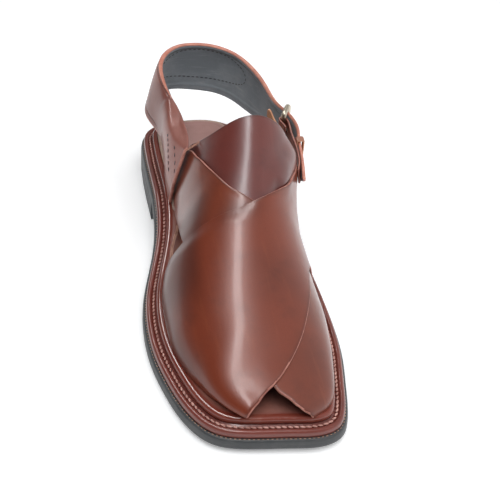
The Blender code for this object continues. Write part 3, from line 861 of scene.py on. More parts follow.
@dataclass(frozen=True)
class Rubber(Finish):
    """Black sole rubber with dust in the hollows; a tread may be scored with lines."""

    base: Colour
    dusty: Colour
    rough: float
    coat: float = 0.0
    scored: bool = False
    line_colour: Colour = tint(150, 112, 108)
    line_angles: tuple[float, float] = (52.0, -40.0)
    line_spacing: float = 15.0
    line_place: float = 2.5

    def fill(self, r: Recipe) -> None:
        """Dust, fine layers and, on a tread, the scored lines.

        Args:
            r: the recipe to fill.
        """
        dust = r.noise(55, 5, 0.65)
        fine = r.noise(1100, 4, 0.65)
        layers = r.noise(35, 4, 0.6, r.stretched(1, 1, 14))
        colour = r.mix(dust.soft_step(0.4, 0.75) * 0.7, self.base, self.dusty)
        colour = r.mix(layers.soft_step(0.5, 0.75) * 0.45, colour, self.dusty)
        height = fine * 0.6 + layers * 0.8
        rough = self.rough + (dust - 0.5) * 0.3 + (fine - 0.5) * 0.1
        if self.scored:
            lines = self._scoring(r)
            colour = r.mix(lines * 0.5, colour, self.line_colour)
            height = height * 0.35 - lines * 6
            rough = rough + lines * 0.3
        r.feed("Base Color", colour)
        r.feed("Roughness", rough)
        r.feed("Coat Weight", self.coat)
        r.feed("Coat Roughness", 0.12)
        r.relief(height, 0.08)

    def _scoring(self, r: Recipe) -> Term:
        """Pairs of lines cut both ways across the tread, ending short of the channel.

        Args:
            r: the recipe.

        Returns:
            1 on a line, 0 away from it.
        """
        x, y, _ = r.parts(r.where)
        total: Any = 0.0
        for a in np.radians(self.line_angles):
            along = x * (math.cos(a) / MM) + y * (math.sin(a) / MM)
            total = along.to_and_fro(self.line_spacing).band(self.line_place, 0.6) + total
        up = r.parts(r.node("ShaderNodeNewGeometry").outputs["True Normal"])[2]
        below = (0 - up).soft_step(0.5, 0.8)
        return total.smaller(1) * below * r.mark("near_edge").soft_step(13, 14)


@dataclass(frozen=True)
class Thread(Finish):
    """Waxed thread, twisted."""

    base: Colour
    deep: Colour
    rough: float = 0.55

    def fill(self, r: Recipe) -> None:
        """Soiled patches over fine strands.

        Args:
            r: the recipe to fill.
        """
        dirt = r.noise(90, 4, 0.6)
        strand = r.noise(1500, 2, 0.5)
        colour = r.mix(dirt.soft_step(0.38, 0.7) * 0.7, self.base, self.deep)
        r.feed("Base Color", r.mix(strand.soft_step(0.5, 0.7) * 0.4, colour, self.deep))
        r.feed("Roughness", self.rough + (strand - 0.5) * 0.2)
        r.relief(strand, 0.1)


@dataclass(frozen=True)
class Plated(Finish):
    """Thin bright plating with fine rubbing marks."""

    base: Colour
    dull: Colour
    rough: float

    def fill(self, r: Recipe) -> None:
        """Dull patches and rubbing marks on metal.

        Args:
            r: the recipe to fill.
        """
        patch = r.noise(220, 4, 0.6)
        rub = r.noise(900, 3, 0.6, r.stretched(1, 6, 1))
        r.feed("Base Color", r.mix(patch.soft_step(0.4, 0.75) * 0.6, self.base, self.dull))
        r.feed("Metallic", 1.0)
        r.feed("Roughness", self.rough + (rub - 0.5) * 0.2 + patch.soft_step(0.5, 0.8) * 0.12)
        r.relief(rub, 0.02)


@dataclass(frozen=True)
class Finishes:
    """Every finish of the sandal."""

    over: Finish = PolishedLeather(
        "over strap leather", tint(122, 53, 32), tint(80, 33, 22), tint(137, 67, 40)
    )
    under: Finish = PolishedLeather(
        "under strap leather", tint(121, 54, 33), tint(78, 33, 22), tint(137, 69, 43), coat=0.5
    )
    tongue: Finish = PolishedLeather(
        "tongue leather", tint(108, 46, 38), tint(70, 30, 26), tint(122, 58, 48),
        rough=0.34, coat=0.55, coat_rough=0.25, shine=(0.7, 0.95, 1.0), level=0.6, grain=0.012,
    )
    heel: Finish = PolishedLeather(
        "heel strap leather", tint(148, 88, 76), tint(96, 52, 45), tint(168, 110, 96),
        rough=0.42, grooves=(3.4,),
    )
    holder: Finish = PolishedLeather(
        "holder leather", tint(134, 68, 52), tint(84, 38, 31), tint(156, 92, 74), rough=0.42
    )
    keeper: Finish = PolishedLeather(
        "keeper leather", tint(176, 120, 96), tint(122, 72, 56), tint(196, 146, 120),
        rough=0.55, coat=0.1,
    )
    welt: Finish = PolishedLeather(
        "midsole leather", tint(122, 58, 48), tint(70, 32, 28), tint(142, 78, 64),
        rough=0.3, coat=0.42, coat_rough=0.15, grain=0.03, burnish=0.01,
    )
    raw: Finish = RawEdge("raw edge", tint(188, 130, 116), tint(126, 70, 60))
    painted: Finish = RawEdge(
        "painted strap edge", tint(212, 142, 122), tint(166, 94, 78), rough=0.45, share=0.4
    )
    pad_rim: Finish = RawEdge("heel pad rim", tint(182, 158, 144), tint(150, 122, 110), 0.6)
    tan: Finish = RawEdge("tan flesh edge", tint(228, 172, 136), tint(180, 122, 92))
    fibres: Finish = RawEdge("loose fibres", tint(206, 156, 134), tint(150, 98, 82))
    lining: Finish = SuedeBack(
        "heel strap lining", tint(134, 141, 146), tint(100, 107, 113), tint(166, 171, 173)
    )
    flesh: Finish = SuedeBack("flesh side", tint(120, 74, 60), tint(84, 48, 40), tint(150, 104, 88))
    insole: Finish = InsoleLeather(
        "insole leather", tint(124, 58, 46), tint(150, 94, 80), tint(84, 46, 42), 11.0
    )
    # heel pad colour: partly its own mauve-brown, partly a painted sheen of the glancing reflection,
    # made lighter
    sock_colour_and_painted_sheen: Finish = SuedeBack(
        "heel pad leather", tint(164, 126, 120), tint(134, 98, 92), tint(182, 146, 138),
        rough=0.5, sheen=0.0, streaks=0.2, nap=0.04,
    )
    side_rubber: Finish = Rubber("outsole rubber", tint(62, 64, 66), tint(92, 92, 92), 0.5)
    tread: Finish = Rubber(
        "tread rubber", tint(24, 28, 32), tint(46, 50, 54), 0.3, coat=0.35, scored=True
    )
    heel_rubber: Finish = Rubber("heel rubber", tint(58, 61, 64), tint(88, 89, 90), 0.5)
    welt_thread: Finish = Thread("sole thread", tint(214, 164, 152), tint(150, 96, 86))
    fine_thread: Finish = Thread("fine thread", tint(120, 74, 60), tint(70, 40, 34))
    pale_thread: Finish = Thread("pale thread", tint(196, 156, 130), tint(140, 96, 76))
    dark_thread: Finish = Thread("lining thread", tint(64, 66, 70), tint(44, 46, 50))
    nails: Finish = Plated("nail heads", tint(150, 140, 126), tint(96, 88, 80), 0.4)
    metal: Finish = Plated("buckle plating", tint(214, 204, 186), tint(176, 162, 142), 0.34)


# ---- stitches and nails


class Scatter(Tree):
    """A Geometry Nodes tree that sets one small solid on every point."""

    def __init__(self, name: str, *labels: str) -> None:
        """Start the tree with its geometry and one named number for each label.

        Args:
            name: the tree's name.
            labels: names of the numbers; Seed is a whole number.
        """
        group = bpy.data.node_groups.new(name, "GeometryNodeTree")
        face = group.interface
        face.new_socket("Geometry", in_out="INPUT", socket_type="NodeSocketGeometry")
        for label in labels:
            kind = "NodeSocketInt" if label == "Seed" else "NodeSocketFloat"
            face.new_socket(label, in_out="INPUT", socket_type=kind)
        face.new_socket("Geometry", in_out="OUTPUT", socket_type="NodeSocketGeometry")
        super().__init__(group)
        self.given = self.node("NodeGroupInput").outputs
        kept = {"data_type": "FLOAT_VECTOR"}
        rise = self.node("GeometryNodeInputNamedAttribute", kept, {"Name": "rise"})
        self.rise = rise.outputs[0]

    def close(self, points: Any, solid: Any, sizes: Sequence[str], turn: Any, scale: Any) -> None:
        """Size the solid, set it on the points and end the tree in plain smooth faces.

        Args:
            points: socket of the points.
            solid: socket of the solid, one unit across.
            sizes: labels of its three sizes.
            turn: rotation of each.
            scale: scale of each.
        """
        sides = {k: self.given[label] for k, label in enumerate(sizes)}
        shape = self.node("ShaderNodeCombineXYZ", None, sides)
        one = self.node("GeometryNodeTransform", None, {"Geometry": solid, "Scale": shape.outputs[0]})
        where = {"Points": points, "Instance": one.outputs[0], "Rotation": turn, "Scale": scale}
        made = self.node("GeometryNodeInstanceOnPoints", None, where)
        for kind in ("RealizeInstances", "SetShadeSmooth", "SetMaterial"):
            made = self.node("GeometryNode" + kind, None, {"Geometry": made.outputs[0]})
        self.node("NodeGroupOutput", None, {0: made.outputs[0]})

    def grow(self, obj: Piece, sizes: dict[str, float]) -> Piece:
        """Run the tree on an object and keep the result as a plain mesh.

        Args:
            obj: the object that carries the lines or points.
            sizes: values of the tree's named inputs.

        Returns:
            The same object with its finished mesh.
        """
        mod = obj.modifiers.new("grow", "NODES")
        mod.node_group = self.tree
        for item in self.tree.interface.items_tree:
            if item.item_type == "SOCKET" and item.in_out == "INPUT" and item.name in sizes:
                mod[item.identifier] = sizes[item.name]
        return made_plain(obj)


def carrier(name: str, points: Grid, edges: Sequence[tuple[int, int]], rises: Grid) -> Piece:
    """Make the points and lines that a tree grows on.

    Args:
        name: the object's name.
        points: the points, mm.
        edges: pairs of point numbers.
        rises: outward direction at each point.

    Returns:
        The object, its directions kept as an attribute.
    """
    mesh = bpy.data.meshes.new(name)
    mesh.from_pydata(to_row(points).tolist(), edges, [])
    turned = rises * np.array([-1.0, -1.0, 1.0])
    layer = mesh.attributes.new("rise", "FLOAT_VECTOR", "POINT")
    layer.data.foreach_set("vector", turned.astype(np.float32).ravel())
    return placed(name, mesh)


@dataclass(frozen=True)
class Stitch:
    """One stitch and how it repeats, mm and degrees."""

    length: float
    width: float
    height: float
    pitch: float
    slant: float = 0.0
    stray: float = 0.08
    seed: int = 3

    def sew(
        self,
        name: str,
        slot: str,
        finish: Finish,
        lines: Sequence[Grid],
        rises: Sequence[Grid],
        closed: bool = False,
    ) -> None:
        """Lay and dress stitches along lines with Geometry Nodes.

        Args:
            name: the piece's name.
            slot: the record's material slot.
            finish: the thread's finish.
            lines: points of each line, mm.
            rises: outward direction of each line, or at each of its points.
            closed: True where each line is a ring.
        """
        edges: list[tuple[int, int]] = []
        start = 0
        for line in lines:
            end = start + len(line)
            edges += [(i, i + 1) for i in range(start, end - 1)]
            edges += [(end - 1, start)] if closed else []
            start = end
        out = [np.broadcast_to(rise, line.shape) for line, rise in zip(lines, rises)]
        obj = carrier(name, np.concatenate(lines), edges, np.concatenate(out))
        sizes = {"Pitch": self.pitch * MM, "Length": self.length * MM, "Width": self.width * MM}
        sizes |= {"Height": self.height * MM, "Slant": math.radians(self.slant)}
        sizes |= {"Stray": self.stray, "Seed": self.seed}
        dress(self._tree(tuple(sizes)).grow(obj, sizes), slot, finish)

    @staticmethod
    def _tree(labels: Sequence[str]) -> Scatter:
        """Tree that lays rounded stitches along lines, one pitch apart.

        Args:
            labels: names of its inputs.

        Returns:
            The tree.
        """
        tree = Scatter("stitches", *labels)
        size = tree.given
        curve = tree.node("GeometryNodeMeshToCurve", None, {"Mesh": size["Geometry"]}).outputs[0]
        spread = {"Curve": curve, "Length": size["Pitch"]}
        spots = tree.node("GeometryNodeResampleCurve", {"mode": "LENGTH"}, spread)
        bead = tree.node("GeometryNodeMeshUVSphere", None, {"Segments": 8, "Rings": 5, "Radius": 0.5})
        tangent = tree.node("GeometryNodeInputTangent").outputs[0]
        axes = {"primary_axis": "Z", "secondary_axis": "X"}
        facing = tree.node("FunctionNodeAxesToRotation", axes, {0: tree.rise, 1: tangent})
        stray = Term(tree, size["Stray"])
        chance = {2: 0 - stray, 3: stray, "Seed": size["Seed"]}
        drawn = tree.node("FunctionNodeRandomValue", {"data_type": "FLOAT"}, chance)
        stray = Term(tree, drawn.outputs[1])
        lean = tree.node("ShaderNodeCombineXYZ", None, {2: stray + size["Slant"]})
        lean = tree.node("FunctionNodeEulerToRotation", None, {0: lean.outputs[0]})
        both = {0: facing.outputs[0], 1: lean.outputs[0]}
        turn = tree.node("FunctionNodeRotateRotation", {"rotation_space": "LOCAL"}, both)
        across = ("Length", "Width", "Height")
        tree.close(spots.outputs[0], bead.outputs[0], across, turn.outputs[0], stray + 1)
        return tree


@dataclass(frozen=True)
class Nail:
    """A low domed nail head, mm."""

    radius: float
    height: float

    def drive(self, name: str, slot: str, finish: Finish, places: Grid, rise: Grid) -> None:
        """Set and dress nail heads on points with Geometry Nodes.

        Args:
            name: the piece's name.
            slot: the record's material slot.
            finish: the heads' finish.
            places: middles of the heads, mm.
            rise: outward direction of the heads.
        """
        tree = Scatter("nails", "Radius", "Height")
        cone = {"Vertices": 14, "Side Segments": 3, "Radius Top": 0.55, "Depth": 1.0}
        head = tree.node("GeometryNodeMeshCone", None, cone).outputs[0]
        turn = tree.node("FunctionNodeAlignRotationToVector", {"axis": "Z"}, {"Vector": tree.rise})
        across = ("Radius", "Radius", "Height")
        tree.close(tree.given["Geometry"], head, across, turn.outputs[0], (1.0, 1.0, 1.0))
        obj = carrier(name, places, [], np.broadcast_to(rise, places.shape))
        sizes = {"Radius": self.radius * MM, "Height": self.height * MM}
        dress(tree.grow(obj, sizes), slot, finish)


# ---- the sole


@dataclass(frozen=True)
class SoleForm:
    """Ground outline and heights of the sole's layers, mm."""

    outline: Table = (
        (1, 0), (20, 3), (33.5, 13), (38.5, 32), (40.5, 60), (41.8, 90), (44.8, 117), (52, 143),
        (60, 168), (65, 196), (65.5, 222), (62, 247), (55.5, 270), (45, 285), (29, 291.5), (8, 295.5),
        (-8.5, 297.5), (-19, 294), (-26, 283.5), (-32, 265), (-38.5, 241), (-42.5, 212), (-44.2, 182),
        (-44.8, 150), (-44, 118), (-42, 88), (-40, 55), (-36.5, 28), (-29, 10), (-15.5, 2),
    )
    rise: Table = (
        (-5, 14), (92, 14), (102, 11.6), (116, 7.2), (131, 3.8), (146, 1.4), (158, 0.3), (166, 0),
        (216, 0), (240, 0.4), (266, 1.3), (299, 2.8),
    )
    outsole: float = 6.0
    midsole: float = 4.2
    insole: float = 3.2
    gap: float = 0.3
    rows: int = 190
    columns: int = 36

    def underside(self, y: Any) -> Grid:
        """Height of the outsole's underside."""
        return eased(self.rise, y)

    def midsole_base(self, y: Any) -> Grid:
        """Height of the midsole's underside."""
        return self.underside(y) + self.outsole + self.gap

    def insole_base(self, y: Any) -> Grid:
        """Height of the insole's underside."""
        return self.midsole_base(y) + self.midsole + self.gap

    def insole_top(self, y: Any) -> Grid:
        """Height of the insole's top face."""
        return self.insole_base(y) + self.insole

    def ring(self, inset: float) -> Grid:
        """The ground outline moved inwards, outer half first, then the inner half back.

        Args:
            inset: distance inwards, mm.

        Returns:
            Points across and along; number rows lies at the toe.
        """
        loop = np.array(self.outline + self.outline[:1])
        t = running_length(loop)
        dense = spline(t, loop, np.linspace(0, t[-1], 6001), closed=True)[:-1]
        step = np.roll(dense, -3, 0) - np.roll(dense, 3, 0)
        inwards = unit(np.stack([-step[:, 1], step[:, 0]], 1))
        toe = int(np.argmax(dense[:, 1]))
        both = np.concatenate([dense, inwards], 1)
        both = np.vstack([both, both[:1]])
        halves = []
        x = np.linspace(0, 1, self.rows + 1)
        w = x - 0.35 * np.sin(2 * math.pi * x) / (2 * math.pi)
        for half in (both[: toe + 1], both[toe:]):
            s = running_length(half[:, :2])
            halves.append(np.stack([np.interp(w * s[-1], s, half[:, k]) for k in range(4)], 1)[:-1])
        ring = np.vstack(halves)
        return ring[:, :2] + unit(ring[:, 2:]) * inset

    def halves(self, inset: float) -> tuple[Grid, Grid]:
        """The outer and the inner half of the moved outline, each from heel to toe."""
        ring = self.ring(inset)
        return ring[: self.rows + 1], np.vstack([ring[self.rows :], ring[:1]])[::-1]

    def line(self, height: Callable[[Any], Grid], inset: float, up: float) -> Grid:
        """A closed line round the sole at an inset and a height over a layer."""
        ring = self.ring(inset)
        return np.column_stack([ring, height(ring[:, 1]) + up])

    def layer(
        self,
        name: str,
        edge: float,
        profile: Table,
        height: Callable[[Any], Grid],
        treads: int = 0,
        crown: Callable[[Grid], Grid] | None = None,
    ) -> Piece:
        """Build one layer of the sole.

        Args:
            name: the piece's name.
            edge: inset of the layer, mm.
            profile: inset within the layer and height over its base, from the
                underside's inner edge round to the top's inner edge.
            height: the base's height along the shoe.
            treads: strips of the profile that, with the underside, are tread.
            crown: extra height of the top face by place.

        Returns:
            The closed layer.
        """

        def settle(inside: Grid, k: int) -> Grid:
            """Lay a cap's points on the base's curve."""
            up = height(inside[..., 1]) + profile[k][1] + (crown(inside) if crown and k else 0.0)
            return np.concatenate([inside[..., :2], up[..., None]], -1)

        loops = [self.line(height, edge + inset, up) for inset, up in profile]
        for loop, (_, up) in zip(loops, profile):
            if crown and up == profile[-1][1]:
                loop[:, 2] += crown(loop)
        points, faces = capped(loops, self.rows, self.columns, settle)
        n = 2 * self.rows
        caps = points[len(loops) * n :, :2]
        insets = np.repeat([edge + inset for inset, _ in profile], n)
        near = np.concatenate([insets, reach_to(caps, self.ring(0.0))[0]])
        cap = self.rows * self.columns
        plain = len(profile) - 1 - treads
        slots = np.repeat([1, 0, int(treads > 0), 0], [treads * n, plain * n, cap, cap])
        return new_piece(name, points, faces, slots, {"near_edge": near})


@dataclass
class Sole:
    """Heel, outsole, midsole and insole with their seams.

    Attributes:
        heel_grid: points along each side of the heel block, columns across it.
        treads: strips of outsole_side that are tread, from its first.
        outsole_side: inset and height of the rim, from the underside round to the top;
            midsole_side, insole_side and heel_side are the same.
        welt_line: inset and height of the rope stitches; seam_line is the same.
    """

    form: SoleForm
    looks: Finishes
    heel_grid: tuple[int, int] = (90, 24)
    heel_breast: float = 88.0
    breast_hollow: float = 2.2
    midsole_inset: float = 2.2
    insole_inset: float = 8.0
    channel_inset: float = 9.0
    treads: int = 11
    outsole_side: Table = (
        (12.4, 0), (11.2, 0.02), (10.5, 0.25), (9.9, 0.95), (9, 1.15), (8.1, 0.95), (7.5, 0.25),
        (6.8, 0.02), (5.8, 0), (3, 0), (1.5, 0.02), (0.7, 0.18), (0.25, 0.5), (0, 1), (0.02, 2.2),
        (0.2, 3.4), (0.35, 4.6), (0.55, 5.3), (0.85, 5.75), (1.2, 6), (2.8, 6.02),
    )
    midsole_side: Table = (
        (1, -0.28), (0.25, -0.2), (0, 0.25), (-0.12, 1.2), (-0.1, 2.4), (0.12, 3.2), (0.45, 3.75),
        (0.95, 4.1), (1.5, 4.2), (2.2, 4.16), (2.6, 4), (2.9, 3.4), (3.2, 2.75), (3.8, 2.6), (4.9, 2.6),
        (5.4, 2.9), (6.2, 3.5), (8, 4.1),
    )
    insole_side: Table = (
        (1, -0.5), (0.1, -0.45), (0, 0.3), (-0.1, 1.1), (0, 1.9), (0.3, 2.5), (0.75, 2.95), (1.3, 3.18),
        (2, 3.25), (2.7, 3.2), (3.3, 3.1), (4.5, 3.1),
    )
    heel_side: Table = (
        (3, 0), (1.2, 0.02), (0.6, 0.14), (0.2, 0.45), (0, 0.9), (0, 4.3), (0.28, 4.5), (0.28, 4.7),
        (0, 4.9), (0, 8.9), (0.28, 9.1), (0.28, 9.3), (0, 9.5), (0.05, 12.6), (0.3, 13.5), (0.8, 13.85),
        (3, 13.9),
    )
    pad_inset: float = 3.6
    pad_front: float = 118.0
    pad_wall: float = 0.9
    pad_lip: float = 2.1
    pad_seam: float = 4.6
    welt_line: tuple[float, float] = (6.35, 3.35)
    seam_line: tuple[float, float] = (1.75, 6.12)
    channel_depth: float = 0.75
    welt_stitch: Stitch = Stitch(3.1, 1.35, 1.0, 3.05, -14.0, 0.09, 5)
    seam_stitch: Stitch = Stitch(1.3, 0.5, 0.35, 2.3, 0.0, 0.1, 7)
    tread_stitch: Stitch = Stitch(5.2, 2.0, 1.2, 5.0, 14.0, 0.09, 9)
    pad_stitch: Stitch = Stitch(2.2, 0.7, 0.5, 3.1, 0.0, 0.05, 11)
    nail: Nail = Nail(1.5, 0.4)
    nail_sink: float = 0.42
    sole_nails: Table = (
        (-14, 284), (-3, 288.5), (32, 282), (43, 276), (55, 214), (-33.5, 206), (42, 128), (-35, 124),
    )
    heel_nails: Table = (
        (-24, 16), (-6, 9.5), (14, 12), (27, 24), (31, 48), (32, 74), (-31, 40), (-33, 70),
    )

    def build(self) -> None:
        """Build and dress every layer."""
        self._outsole()
        self._midsole()
        self._insole()
        self._heel_pad()
        self._heel_lift()
        self._threads()
        self._nails()

    def _outsole(self) -> None:
        """Rubber outsole with rounded rims and the sewn channel underneath."""
        form = self.form
        obj = form.layer("outsole_rubber", 0.0, self.outsole_side, form.underside, self.treads)
        dress(obj, "outsole", self.looks.side_rubber, self.looks.tread)
        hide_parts("outsole")

    def _midsole(self) -> None:
        """Leather midsole: rounded glossy ledge and the thread's groove."""
        form, inset = self.form, self.midsole_inset
        obj = form.layer("midsole_leather", inset, self.midsole_side, form.midsole_base)
        dress(obj, "midsole", self.looks.welt)
        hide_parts("midsole")

    def _insole(self) -> None:
        """Insole with a rounded polished rim and a slightly hollowed bed."""
        form, inset = self.form, self.insole_inset
        obj = form.layer("insole_board", inset, self.insole_side, form.insole_base, 0, self._bed)
        dress(obj, "insole", self.looks.insole)
        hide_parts("insole")

    @staticmethod
    def _bed(points: Grid) -> Grid:
        """Extra height of the foot bed: a hollow under the heel and one under the ball."""
        x, y = points[..., 0], points[..., 1]
        return -0.7 * bump((x + 2) / 22, (y - 38) / 26) - 0.5 * bump((x - 8) / 26, (y - 205) / 26)

    def _heel_pad(self) -> None:
        """Thin leather pad over the heel of the insole, sewn round its rim."""
        looks = self.looks
        sides = []
        for half in self.form.halves(self.insole_inset + self.pad_inset):
            keep = half[half[:, 1] < self.pad_front - 6]
            sides.append(even_points(np.vstack([half[:1], keep]), 130))
        f = 0.5 - 0.5 * np.cos(np.linspace(0, math.pi, 65))
        flat = sides[0][:, None] + (sides[1] - sides[0])[:, None] * f[None, :, None]
        bulge = (4 * f * (1 - f))[None, :] ** 0.6
        flat[..., 1] += ramp(flat[..., 1], 70, self.pad_front) * 9 * bulge
        edge = np.vstack([flat[:, 0], flat[-1], flat[::-1, -1]])
        near = reach_to(flat, even_points(edge, 900))[0]
        z = self.form.insole_top(flat[..., 1]) - 0.1
        face = np.concatenate([flat, z[..., None]], -1)
        dent = 0.22 * bump((near - self.pad_seam) / 0.7)
        face[..., 2] += self._bed(face) + 0.75 - dent
        lips = {"lip": self.pad_lip, "back_lip": self.pad_lip}
        obj = Skin(face, self.pad_wall, 0.4, near, inward=True, **lips).build("heel_pad")
        dress(obj, "insole", looks.sock_colour_and_painted_sheen, looks.sock_colour_and_painted_sheen, looks.pad_rim)
        path = np.vstack([sides[0][2:-2][::-1], sides[1][2:-2]])
        middle = np.array([[0.0, 55.0]])
        path = path + unit(middle - path) * self.pad_seam
        line = np.column_stack([path, self.form.insole_top(path[:, 1]) + 0.6])
        line[:, 2] += self._bed(line)
        self.pad_stitch.sew("heel_pad_stitches", "insole", looks.fine_thread, [line], [UP])

    def _heel_lift(self) -> None:
        """Stacked heel block with its layer seams and straight breast."""
        count, across = self.heel_grid
        f = np.linspace(0, 1, across + 1)[1:-1, None]
        loops: list[Grid] = []
        for inset, up in self.heel_side:
            limit = self.heel_breast - inset
            sides = [even_points(self._cut_short(h, limit), count) for h in self.form.halves(inset)]
            breast = sides[0][-1] + (sides[1][-1] - sides[0][-1]) * f
            breast[:, 1] -= self.breast_hollow * (4 * f * (1 - f))[:, 0]
            loop = np.vstack([sides[0], breast, sides[1][::-1][:-1]])
            loops.append(np.column_stack([loop, np.full(len(loop), up)]))
        points, faces = capped(loops, count - 1, across)
        obj = new_piece("heel_block", points, faces)
        dress(obj, "heel_lift", self.looks.heel_rubber)
        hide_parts("heel_lift")

    @staticmethod
    def _cut_short(half: Grid, limit: float) -> Grid:
        """Half of an outline up to a distance along the shoe.

        Args:
            half: points across and along, from heel to toe.
            limit: distance from the heel, mm.

        Returns:
            Its points below the limit and the one on it.
        """
        k = int(np.argmax(half[:, 1] > limit))
        f = (limit - half[k - 1, 1]) / (half[k, 1] - half[k - 1, 1])
        end = half[k - 1] + (half[k] - half[k - 1]) * f
        return np.vstack([half[half[:, 1] < limit], end])

    def _threads(self) -> None:
        """Rope stitches on the welt, fine seam stitches and the sewn channel below."""
        form, looks = self.form, self.looks
        line = form.line(form.midsole_base, *self.welt_line)
        self.welt_stitch.sew("sole_stitches", "midsole", looks.welt_thread, [line], [UP], True)
        line = form.line(form.underside, *self.seam_line)
        self.seam_stitch.sew("seam_stitches", "midsole", looks.pale_thread, [line], [UP], True)
        below = form.line(form.underside, self.channel_inset, self.channel_depth)
        keep = below[below[:, 1] > self.heel_breast + 5]
        turn = int(np.argmax(np.linalg.norm(np.diff(keep, axis=0), axis=1))) + 1
        keep = np.roll(keep, -turn, 0) if turn < len(keep) - 1 else keep
        self.tread_stitch.sew("tread_stitches", "outsole", looks.side_rubber, [keep], [-UP])

    def _nails(self) -> None:
        """Nail heads under the toe, the waist and the heel."""
        sole, heel = np.array(self.sole_nails), np.array(self.heel_nails)
        z = np.concatenate([self.form.underside(sole[:, 1]), np.zeros(len(heel))])
        points = np.column_stack([np.vstack([sole, heel]), z + self.nail_sink])
        self.nail.drive("nail_heads", "outsole", self.looks.nails, points, -UP)


# ---- straps over the foot


@dataclass(frozen=True)
class Last:
    """The foot form the straps were pulled over, mm above the insole.

    Attributes:
        sole: the sole it stands on.
        sections: along, ridge across, height, fullness of the outer and of the inner
            side, and swell of the inner side.
        feet: along, and where the outer and the inner foot line run.
    """

    sole: SoleForm
    sections: Table = (
        (80, -15.5, 79, 1.7, 3, 9), (105, -14, 76.5, 1.7, 3, 8.5), (125, -12, 73, 1.7, 2.9, 6.5),
        (140, -8.5, 66, 1.7, 2.5, 2.5), (155, -4.5, 59, 1.75, 2.2, -0.5), (175, 0, 50, 1.85, 2.1, -3),
        (200, 4.5, 39.5, 1.95, 2.05, -2.5), (225, 8, 29, 2.05, 2.1, -0.5), (250, 10, 18, 2.1, 2.2, 1.5),
        (270, 11, 8.5, 2.1, 2.2, 1.5), (289, 11, 2.5, 2.1, 2.2, 0.5),
    )
    feet: Table = (
        (60, 18, -27), (85, 22.5, -29), (105, 26, -30.5), (125, 30, -31.5), (146, 34.5, -32),
        (171, 43, -32.5), (191, 47.5, -32), (222, 49, -29), (243, 45.5, -24), (257, 40.5, -20.5),
        (268, 34, -17.5), (277, 25, -14), (281.5, 17, -10.5), (286, 12, -2), (289, 12, 4),
    )

    def surface(self, sweep: Any, y: Any) -> Grid:
        """Point of the bare form.

        Args:
            sweep: 0 at the outer foot line, 1 at the inner foot line.
            y: distance from the heel.

        Returns:
            Points across, along and up.
        """
        sweep, y = np.broadcast_arrays(sweep, y)
        ridge = eased(self.sections, y, 1)
        ang = np.clip(sweep, 0, 1) * math.pi
        c = np.cos(ang)
        s = np.maximum(np.sin(ang), 0.0)
        outer = c > 0.0
        full = np.where(outer, eased(self.sections, y, 3), eased(self.sections, y, 4))
        reach = np.where(outer, eased(self.feet, y, 1), eased(self.feet, y, 2)) - ridge
        rise = s ** (2 / full)
        swell = eased(self.sections, y, 5) * 4 * rise * (1 - rise)
        across = np.abs(c) ** (2 / full) * reach - np.where(outer, 0.0, swell)
        up = self.sole.insole_top(y) + self.sole.gap + rise * eased(self.sections, y, 2)
        return np.stack([ridge + across, y, up], -1)

    def point(self, sweep: Any, y: Any, offset: Any) -> Grid:
        """Point of the form moved outwards.

        Args:
            sweep: 0 at the outer foot line, 1 at the inner foot line.
            y: distance from the heel.
            offset: distance outwards, one number or one for each point.

        Returns:
            Points across, along and up.
        """
        sweep, y = np.broadcast_arrays(sweep, y)
        eps = 1e-4
        after = self.surface(np.minimum(sweep + eps, 1.0), y)
        du = after - self.surface(np.maximum(sweep - eps, 0.0), y)
        dv = self.surface(sweep, y + 0.05) - self.surface(sweep, y - 0.05)
        n = unit(np.cross(du, dv))
        away = np.broadcast_to(offset, sweep.shape)
        return self.surface(sweep, y) - n * away[..., None]


@dataclass(frozen=True)
class Fold:
    """A soft ridge, or a trough where the height is negative, along a line on the form.

    The line's rows are sweep and along; half its width and its height are in mm.
    """

    line: Table
    width: float
    height: float

    def lift(self, points: Grid, last: Last) -> Grid:
        """How far each point moves out.

        Args:
            points: grid of points near the form, mm.
            last: the form.

        Returns:
            Distances, mm.
        """
        rows = np.array(self.line)
        t = np.linspace(0, 1, len(rows))
        dense = spline(t, rows, np.linspace(0, 1, 60))
        line = last.point(dense[:, 0], dense[:, 1], 5.0)
        away, which = reach_to(points, line)
        fade = np.sin(math.pi * np.clip((which + 0.5) / 60, 0, 1)) ** 0.7
        return self.height * np.exp(-((away / self.width) ** 2)) * fade


